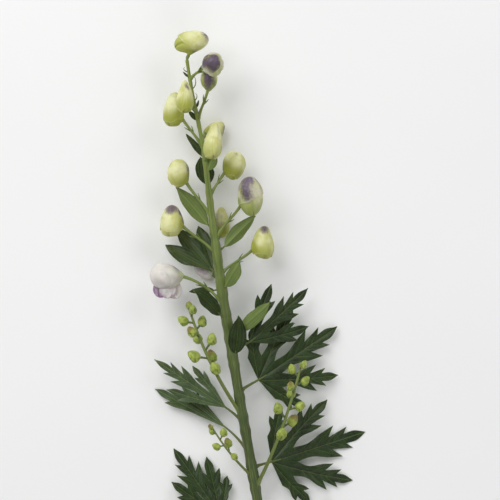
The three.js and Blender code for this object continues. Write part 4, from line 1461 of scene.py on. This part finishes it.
@dataclass
class Bladelet:
    """A small blade, such as a bracteole or a petal, cupped across and curled along."""

    base: Array
    along: Array
    normal: Array
    length: float
    width: float
    profile: tuple[float, ...]
    cup: float = 0.35
    curl: float = 0.12
    rows: int = 18
    columns: int = 11
    half: float = 0.22
    thinning: float = 0.55
    ruffle: float = 0.0
    pleats: float = 0.0
    phase: float = 0.0
    rounds_from: float = 1.0
    no_vein: float = 9.0

    def add_to(self, skin: Skin, looks: tuple[int, int], **marks: float) -> None:
        """Adds the blade to a skin.

        Its half width follows the profile along it, it rises from its midrib by the cup, its tip curls up
        with the square of the way along, and pleats fan out along it.

        Args:
            skin: what it is added to.
            looks: the material numbers of its two faces.
            marks: numbers for all its points.
        """
        x = np.linspace(0, 1, self.rows)[:, None]
        s = np.linspace(-1, 1, self.columns)
        knots = np.column_stack([np.linspace(0, 1, len(self.profile)), self.profile])
        line = hermite(knots, np.isin(knots[:, 0], (0, 1)), 8)
        wide = np.interp(x, line[:, 0], line[:, 1])
        if self.rounds_from < 1:
            past = np.maximum(0, (x - self.rounds_from) / (1 - self.rounds_from))
            wide = wide * np.sqrt(np.maximum(1 - past**2.2, 0.0))
        out = s * self.width * np.maximum(wide, 0.001)
        rise = (self.cup * np.abs(out) ** 1.2 + self.curl * self.length * x * x
                + self.ruffle * np.sin(9 * x + 4 * s + self.phase) * np.maximum(np.abs(s), x) ** 3
                + self.pleats * np.sin(8.5 * s + self.phase) * x)
        points = (self.base + x[..., None] * self.length * self.along
                  + out[..., None] * np.cross(self.along, self.normal) + rise[..., None] * self.normal)
        edge = np.maximum(np.abs(s) ** 3, x**5)
        own = {"edge": edge, "rib": np.abs(out), "vein": self.no_vein, "grain": 0.0, "turn_x": 0.6 * s,
               "turn_y": self.phase, "along": x, **marks}
        if "flush" in marks:
            own["flush"] = marks["flush"] * (0.55 + 0.5 * edge)
        sheet = Sheet.joined([points], [{k: np.broadcast_to(v, out.shape) for k, v in own.items()}])
        above = self.half * (1 - self.thinning * sheet.marks["edge"])
        sheet.thicken(skin, above, above, looks)


@dataclass
class Bloom:
    """A bloom: its bud on a pedicel with two bracteoles, and the petals that show."""

    line: StemLine
    row: BloomRow
    number: int
    first_seed: int = 40
    pedicel_radius: float = 1.1
    pedicel_sides: int = 20
    pedicel_rings: int = 56
    root_swell: float = 0.4
    head_swell: float = 0.8
    waist: float = 0.88
    clasp: float = 0.25
    clasp_reach: float = 2.4
    within_stem: float = 0.72
    leaving_slope: float = 0.75
    head_sink: float = 0.35
    pull: float = 0.3
    pedicel_young: float = 0.75
    streak_scale: float = 0.01
    bracteole_length: float = 6.0
    bracteole_width: float = 1.25
    bracteole_places: tuple[tuple[int, float], ...] = ((1, 0.52), (-1, 0.58))
    leafy: tuple[int, ...] = (2, 3, 11)
    leafy_width: float = 1.6
    flat_spot: float = 0.25
    pointed: tuple[float, ...] = (0.4, 1.0, 0.65, 0.0)
    rounded: tuple[float, ...] = (0.7, 1.0, 1.0, 0.9)
    petal_places: tuple[float, float] = (0.36, 0.62)
    petal_lengths: tuple[float, float] = (0.7, 0.62)
    petal_purples: Point = (0.32, 0.45, 1.25)
    petal_width: float = 0.3
    petal_out: float = 0.2
    petal_back: float = 0.12
    petal_fan: float = 0.5

    def __post_init__(self) -> None:
        """Places the bud, and lays it on the table if it rests there."""
        row = self.row
        joint = vector(row.joint)
        root, rise, _ = self.line.root(row.root)
        flat = cosine(row.tilt)
        up = np.array([flat * cosine(row.angle), flat * sine(row.angle), sine(row.tilt)])
        towards = vector(row.front) if row.front else joint - self.line.at(joint[1] / self.line.length)
        self.arrive = vector(row.arrive) if row.arrive else unit(unit(joint - root) + rise)
        self.bud = Bud(joint, up, towards, row.length, row.depth, row.width, row.seat, row.hood, row.fullest,
                       self.first_seed + self.number, row.rim, vector(row.cap) if row.cap else None,
                       neck_way=-self.arrive)
        if row.rests:
            points, _ = self.bud.surface()
            self.bud.joint = joint - UP * (points[..., 2].min() + self.flat_spot)

    def spread(self, points: Array, patches: tuple[Flush, ...]) -> Array:
        """How strong the patches are at each point of the bud. Each fades with the angle from its middle."""
        way = unit(points - self.bud.centre())
        total = np.zeros(way.shape[:-1])
        for patch in patches:
            middle = unit(np.array([patch.right, patch.tipward, patch.above]))
            apart = np.degrees(np.arccos(np.clip(way @ middle, -1, 1)))
            strength = 1 - smooth((apart - 0.1 * patch.reach) / (1.2 * patch.reach))
            total = np.hypot(total, patch.strength * strength)
        return total

    def bud_skin(self) -> Skin:
        """The bud's surface, and the petals, with the marks that its finish reads."""
        skin = Skin()
        points, marks = self.bud.surface()
        points = lifted(points, 0.0)
        foot = np.linalg.norm(points - self.bud.joint, axis=-1)
        green = self.row.green * smooth((0.6 - marks["up"]) / 1.3) + 0.9 * bell(foot, 5.0)
        # Pale patches, partly painted highlight towards the key lamp.
        pale = self.spread(points, self.row.pales)
        # Purple patches, in places painted shade on the edges away from the key lamp.
        flush = self.spread(points, self.row.flushes) * (1 - 0.8 * marks.pop("under"))
        flush = flush * (1 - np.minimum(pale, 1))
        green = np.clip(green * (1 - 0.6 * pale), 0, 1)
        del marks["up"]
        skin.add_round(points, 0, (0.05, 0.05), flush=flush, pale=pale, green=green, **marks)
        self.add_petals(skin)
        return skin

    def add_petals(self, skin: Skin) -> None:
        """Adds the broad pleated petals that hang out from under the hood of a flower that is opening."""
        bud, row = self.bud, self.row
        for i, purple in enumerate(self.petal_purples[:row.petals]):
            place = i / (row.petals - 1)
            lean = (place - 0.5) * self.petal_fan
            out = bud.front * math.cos(lean) + bud.up * math.sin(lean)
            face = bud.side * (1 if i % 2 else -1)
            heart = (bud.joint + bud.front * row.depth * self.petal_out - face * row.width * self.petal_back
                     + bud.up * row.length * (mix(*self.petal_places, place) - row.seat))
            long, wide = row.depth * mix(*self.petal_lengths, place), row.width * self.petal_width
            petal = Bladelet(heart, out, face, long, wide, self.rounded, cup=0.1, rows=30, columns=27,
                             half=0.25, ruffle=0.8, pleats=0.32, phase=1.7 * i, rounds_from=0.55)
            petal.add_to(skin, (0, 0), flush=purple, pale=0.2)

    def stalk_skin(self) -> Skin:
        """The pedicel and its two bracteoles.

        The pedicel stays inside the stem until it leaves it, and widens again at its head.
        """
        bud = self.bud
        root, rise, stem_radius = self.line.root(self.row.root)
        reach = float(np.linalg.norm(bud.joint - root))
        pull = reach * self.pull
        head = mix(bud.joint, bud.centre(), self.head_sink)
        path = Bezier((root, root + rise * pull, bud.joint - self.arrive * pull, head))
        t = np.linspace(0, 1, self.pedicel_rings)
        off = path.at(t) - root
        away = np.linalg.norm(off - (off @ rise)[:, None] * rise, axis=-1)
        radius = self.pedicel_radius + self.root_swell * (1 - t) ** 4 + self.head_swell * t**6
        clasp = bell(np.maximum(away - stem_radius, 0), self.clasp_reach)
        radius = radius * (self.waist + self.clasp * clasp)
        radius = np.minimum(radius, stem_radius * self.within_stem + away * self.leaving_slope)
        skin = Skin()
        skin.add_rod(path, radius, self.pedicel_sides, self.pedicel_young, reach * self.streak_scale,
                     0.3 * self.number)
        wide = self.bracteole_width * (self.leafy_width if self.number in self.leafy else 1)
        for side, at in self.bracteole_places:
            along = path.heading(at)
            out = facing(along, 90 * side)
            lean = unit(along + out * 0.5)
            inner = unit(-out + lean * float(out @ lean))
            bracteole = Bladelet(path.at(at) + out * 0.5, lean, inner, self.bracteole_length, wide,
                                 self.pointed, half=0.3)
            bracteole.add_to(skin, (1, 1), young=0.4)
        return skin


@dataclass
class Spray:
    """A side spray: a thin axis with small buds round it by the golden angle, on stalks that shorten."""

    line: StemLine
    row: SprayRow
    axis_sides: int = 18
    axis_rings: int = 60
    axis_taper: tuple[float, float] = (1.2, 0.7)
    axis_clasp: float = 0.5
    crowding: float = 0.85
    bud_shrink: float = 0.3
    stalk_shrink: float = 0.55
    stalk_rise: float = 0.75
    stalk_out: float = 0.7
    stalk_thickness: float = 0.6
    stalk_sides: int = 12
    stalk_rings: int = 14
    streak_scale: float = 0.5
    axis_young: float = 0.7
    stalk_young: float = 0.2
    tinges: tuple[float, float] = (0.75, 0.12)
    turn_jitter: float = 30.0
    size_jitter: tuple[float, float] = (0.9, 1.1)
    depth: float = 0.82
    width: float = 0.74
    seat: float = 0.3
    hood: float = 0.15
    fullest: float = 0.84
    rim: float = 112.0
    first_seed: int = 300
    clear: float = 0.8
    pointed: tuple[float, ...] = (0.6, 1.0, 0.6, 0.0)

    def skin(self) -> Skin:
        """The spray's axis, stalks and bracts in material 0, and its buds in material 1."""
        row, skin = self.row, Skin()
        next_draw = draws(row.seed)
        root, _, stem_radius = self.line.root(row.root)
        tip = vector(row.tip)
        axis = Bezier((root, mix(root, tip, 0.5) + vector(row.bow), tip))
        t = np.linspace(0, 1, self.axis_rings)
        thick = row.radius * mix(*self.axis_taper, t) * (1 + self.axis_clasp * clasping(axis, t, stem_radius))
        skin.add_rod(axis, thick, self.axis_sides, self.axis_young, self.streak_scale)
        for i in range(row.buds):
            climb = i / (row.buds - 1)
            place = row.first + (1 - row.first) * climb**self.crowding
            turn = GOLDEN_ANGLE * i + self.turn_jitter * next(next_draw)
            size = row.size * (1 - self.bud_shrink * climb) * mix(*self.size_jitter, next(next_draw))
            self.add_bud(skin, axis, place, turn, size, row.stalk * (1 - self.stalk_shrink * climb), i)
        return skin

    def add_bud(self, skin: Skin, axis: Bezier, t: float, turn: float, size: float, stalk: float,
                number: int) -> None:
        """Adds one small bud with its stalk and the bract under it.

        Args:
            skin: what it is added to.
            axis: the spray's axis.
            t: the bud's place along it.
            turn: how far round it, in degrees.
            size: the bud's length.
            stalk: the stalk's length.
            number: which bud it is.
        """
        along = axis.heading(t)
        out = facing(along, turn)
        start = axis.at(t)
        joint = start + along * stalk * self.stalk_rise + (out * stalk * self.stalk_out if t < 1 else 0)
        joint[2] = max(joint[2], size * self.clear)
        seed = self.first_seed + self.row.seed * 20 + number
        bud = Bud(joint, unit(along + out * self.hood), out, size, size * self.depth, size * self.width,
                  self.seat, self.hood, self.fullest, seed, self.rim, cap=out * -0.28 + along,
                  rows=43, sectors=44, step=0.1, notch=0.14, seam_step=0.06, lumps=0.05, beak=0.26)
        points, marks = bud.surface()
        tinge = self.tinges[0 if number % 4 == 1 else 1]
        flush = tinge * smooth((marks["up"] + 0.6) / 1.4)
        shown = {k: marks[k] for k in ("turn_x", "turn_y", "along")}
        # Painted shade in the creases, stronger on these small buds.
        skin.add_round(lifted(points, 0.0), 1, (0.03, 0.03), flush=flush,
                       crease=np.clip(1.5 * marks["crease"], 0, 1), **shown)
        radius = self.row.radius * self.stalk_thickness
        path = Bezier((start, mix(start, joint, 0.5), joint + bud.front * size * self.seat))
        widening = 1 + 0.35 * np.linspace(0, 1, self.stalk_rings) ** 3
        skin.add_rod(path, radius * widening, self.stalk_sides, self.stalk_young, self.streak_scale)
        if t < 1:
            lean = unit(along * 0.7 + out)
            inner = unit(along - lean * float(along @ lean))
            bract = Bladelet(start + out * radius, lean, inner, stalk * 0.8, 0.75, self.pointed,
                             rows=10, columns=7, curl=0.3)
            bract.add_to(skin, (0, 0), young=self.stalk_young)


@dataclass
class CurledBract:
    """A thread-thin bract at the foot of a pedicel, curled back into a hook."""

    line: StemLine
    root: float
    side: int
    reach: float
    curl: float
    lift: float
    radius: float = 0.5
    thinning: float = 0.72
    sides: int = 10
    rings: int = 26
    young: float = 0.4
    streak_scale: float = 0.1
    ends: tuple[float, float] = (0.1, 0.2)

    def add_to(self, skin: Skin) -> None:
        """Adds the bract: a thin tube that goes out sideways and bends round into a hook.

        Args:
            skin: what it is added to.
        """
        start, rise, radius = self.line.root(self.root)
        out = unit(np.cross(rise, UP)) * self.side
        start = start + out * radius * 0.7
        shares = ((0.7 * self.reach, 1.0, self.lift), (self.reach, self.curl, self.lift),
                  (0.45 * self.reach, 1.25 * self.curl, 1.4 * self.lift))
        controls = (start, *(start + out * aside + rise * ahead + UP * lift for aside, ahead, lift in shares))
        thick = self.radius * (1 - self.thinning * np.linspace(0, 1, self.rings))
        skin.add_rod(Bezier(controls), thick, self.sides, self.young, self.streak_scale, ends=self.ends)


@dataclass
class Studio:
    """A plain pale table, soft light from above and all round, and a camera that looks straight down."""

    centre: tuple[float, float] = (-0.0086, 0.136)
    height: float = 9.0
    frame: float = 0.385
    sensor: float = 36.0
    table_size: float = 6.0
    table_depth: float = 0.02
    sky: float = 0.38
    lamps: tuple[tuple[str, float, float, Point], ...] = (
        ("key", 34.0, 1.7, (-1.1, 1.3, 1.5)),
        ("back", 7.0, 1.0, (1.2, 1.2, 1.3)),
        ("fill", 6.0, 1.4, (0.6, -1.3, 1.5)),
    )

    def lamp(self, name: str, energy: float, size: float, place: Point) -> None:
        """Adds a square soft light that faces the middle of the view."""
        light = bpy.data.lights.new(name, "AREA")
        light.energy, light.size = energy, size
        made = put(name, light)
        made.location = Vector(place) + Vector((*self.centre, 0))
        made.rotation_euler = Vector(place).to_track_quat("Z", "Y").to_euler()

    def table(self) -> None:
        """Makes the table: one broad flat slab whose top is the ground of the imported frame."""
        half, deep = self.table_size / 2 / METRES, self.table_depth / METRES
        corners = np.meshgrid([-half, half], [-half, half], [-deep, 0.0], indexing="ij")
        quads = np.array([[0, 1, 3, 2], [4, 6, 7, 5], [0, 4, 5, 1], [2, 3, 7, 6], [0, 2, 6, 4], [1, 5, 7, 3]])
        skin = Skin()
        skin.add(np.stack(corners, axis=-1).reshape(-1, 3), quads)
        mesh = skin.mesh("table", np.zeros(3))
        mesh.materials.append(TableFinish().material("table_white"))
        put("table", mesh)

    def world(self) -> None:
        """Makes the even white sky."""
        world = bpy.data.worlds.new("studio")
        world.use_nodes = True
        sky = world.node_tree.nodes["Background"].inputs
        sky["Color"].default_value = (1, 1, 1, 1)
        sky["Strength"].default_value = self.sky
        bpy.context.scene.world = world

    def camera(self) -> None:
        """Makes the camera, high above the middle of the view."""
        lens = bpy.data.cameras.new("camera")
        lens.sensor_width = self.sensor
        lens.lens = self.sensor * self.height / self.frame
        lens.clip_end = 30
        camera = put("camera", lens)
        camera.location = (*self.centre, self.height)
        bpy.context.scene.camera = camera

    def build(self) -> None:
        """Makes the table, the lights, the sky and the camera."""
        self.table()
        for lamp in self.lamps:
            self.lamp(*lamp)
        self.world()
        self.camera()
        bpy.context.scene.view_settings.view_transform = "Standard"


@dataclass
class CutStem:
    """The whole cut stem: builds every piece and hands it to the workshop."""

    line: StemLine = field(default_factory=StemLine)
    curled: tuple[tuple[float, int, float, float, float], ...] = (
        (574, -1, 3.5, 3.0, 1.0), (561, 1, 4.6, 7.5, 2.0), (545, -1, 3.5, 3.0, 1.5), (552, 1, 3.0, 4.0, 1.0))

    def finishes(self) -> dict[str, Material]:
        """Every material of the stem, by name."""
        kinds = {
            "stem_green": StemFinish(),
            "young_bud_green": YoungBudFinish(),
            "leaf_upper": BladeFinish((38, 57, 25), (16, 29, 10), (98, 116, 66), 0.3, 0.5, 0.55, 0.8, 0.26),
            # A lit copy of the leaves' upper green: painted light for leaves that lie in the light.
            "leaf_pale": BladeFinish((66, 88, 50), (38, 58, 30), (126, 142, 96), 0.3, 0.5, 0.6, 0.7, 0.4),
            "leaf_under": BladeFinish((92, 110, 58), (76, 96, 46), (128, 142, 84), 0.46, 0.9, 0.7, 0.35, 0.3),
            "bract_upper": BladeFinish((28, 45, 16), (9, 20, 5), (88, 108, 54), 0.3, 0.4, 0.5, 0.85, 0.2),
            "bract_under": BladeFinish((96, 116, 56), (74, 96, 40), (132, 148, 84), 0.46, 0.6, 0.6, 0.35,
                                       0.3),
            "sepal": SepalFinish((200, 200, 122), (226, 226, 172), (162, 168, 62), (104, 88, 100),
                                 (82, 62, 90), 0.3),
            "dark_sepal": SepalFinish((182, 186, 110), (220, 216, 190), (146, 158, 66), (66, 48, 72),
                                      (96, 74, 112), 0.75),
            "white_sepal": SepalFinish((204, 198, 194), (226, 222, 214), (186, 192, 144), (150, 120, 156),
                                       (116, 84, 128), 0.35),
        }
        return {name: kind.material(name) for name, kind in kinds.items()}

    def build(self, shop: Workshop) -> None:
        """Builds the stem, its blooms, its leaves and its sprays.

        Args:
            shop: what finishes each piece.
        """
        finish = self.finishes()
        green = finish["stem_green"]
        roots = tuple(row.root for row in (*BLOOMS, *BRACTS, *CUT_LEAVES, *SPRAYS))
        shop.piece(MainStem(self.line, roots).skin(), "main_stem", "stem", [green], "stem")
        hooks = Skin()
        for numbers in self.curled:
            CurledBract(self.line, *numbers).add_to(hooks)
        shop.piece(hooks, "curled_bracts", "bract", [green])
        for i, row in enumerate(BLOOMS, 1):
            bloom, slot, node = Bloom(self.line, row, i), row.tint.value, f"bloom_{i:02d}"
            shop.piece(bloom.bud_skin(), f"bud_{i:02d}", slot, [finish[slot]], node)
            shop.piece(bloom.stalk_skin(), f"pedicel_{i:02d}", "stem", [green, finish["bract_under"]], node)
        for word, kind, leaves in (("bract_leaf", "bract", BRACTS), ("cut_leaf", "leaf", CUT_LEAVES)):
            for i, row in enumerate(leaves, 1):
                # Leaves so flagged take the lit copy, which is painted light.
                upper = finish["leaf_pale" if row.pale else f"{kind}_upper"]
                looks = [upper, finish[f"{kind}_under"], green]
                skin = Leaf(self.line, row).skin()
                shop.piece(skin, f"{word}_fine_{i:02d}", kind, looks, f"{word}_{i:02d}")
        for i, row in enumerate(SPRAYS, 1):
            skin, looks = Spray(self.line, row).skin(), [green, finish["young_bud_green"]]
            shop.piece(skin, f"spray_fine_{i:02d}", "young_bud", looks, f"side_spray_{i:02d}")

    def shift(self) -> Array:
        """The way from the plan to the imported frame: from this stem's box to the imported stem's box."""
        points = np.concatenate(MainStem(self.line, ()).skin().points)
        packed = np.mean(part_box("stem"), axis=0) / METRES
        planned = (points.min(axis=0) + points.max(axis=0)) / 2
        return np.array([packed[0] - planned[0], packed[1] - planned[1], 0.0])


def main() -> None:
    """Builds the stem on its table, and logs the number of pieces and triangles."""
    logging.basicConfig(level=logging.INFO, format="%(name)s: %(message)s")
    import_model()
    Studio().build()
    stem = CutStem()
    shop = Workshop(stem.shift())
    stem.build(shop)
    LOG.info("%d pieces, %d triangles", shop.pieces, shop.triangles)


if __name__ == "__main__":
    main()
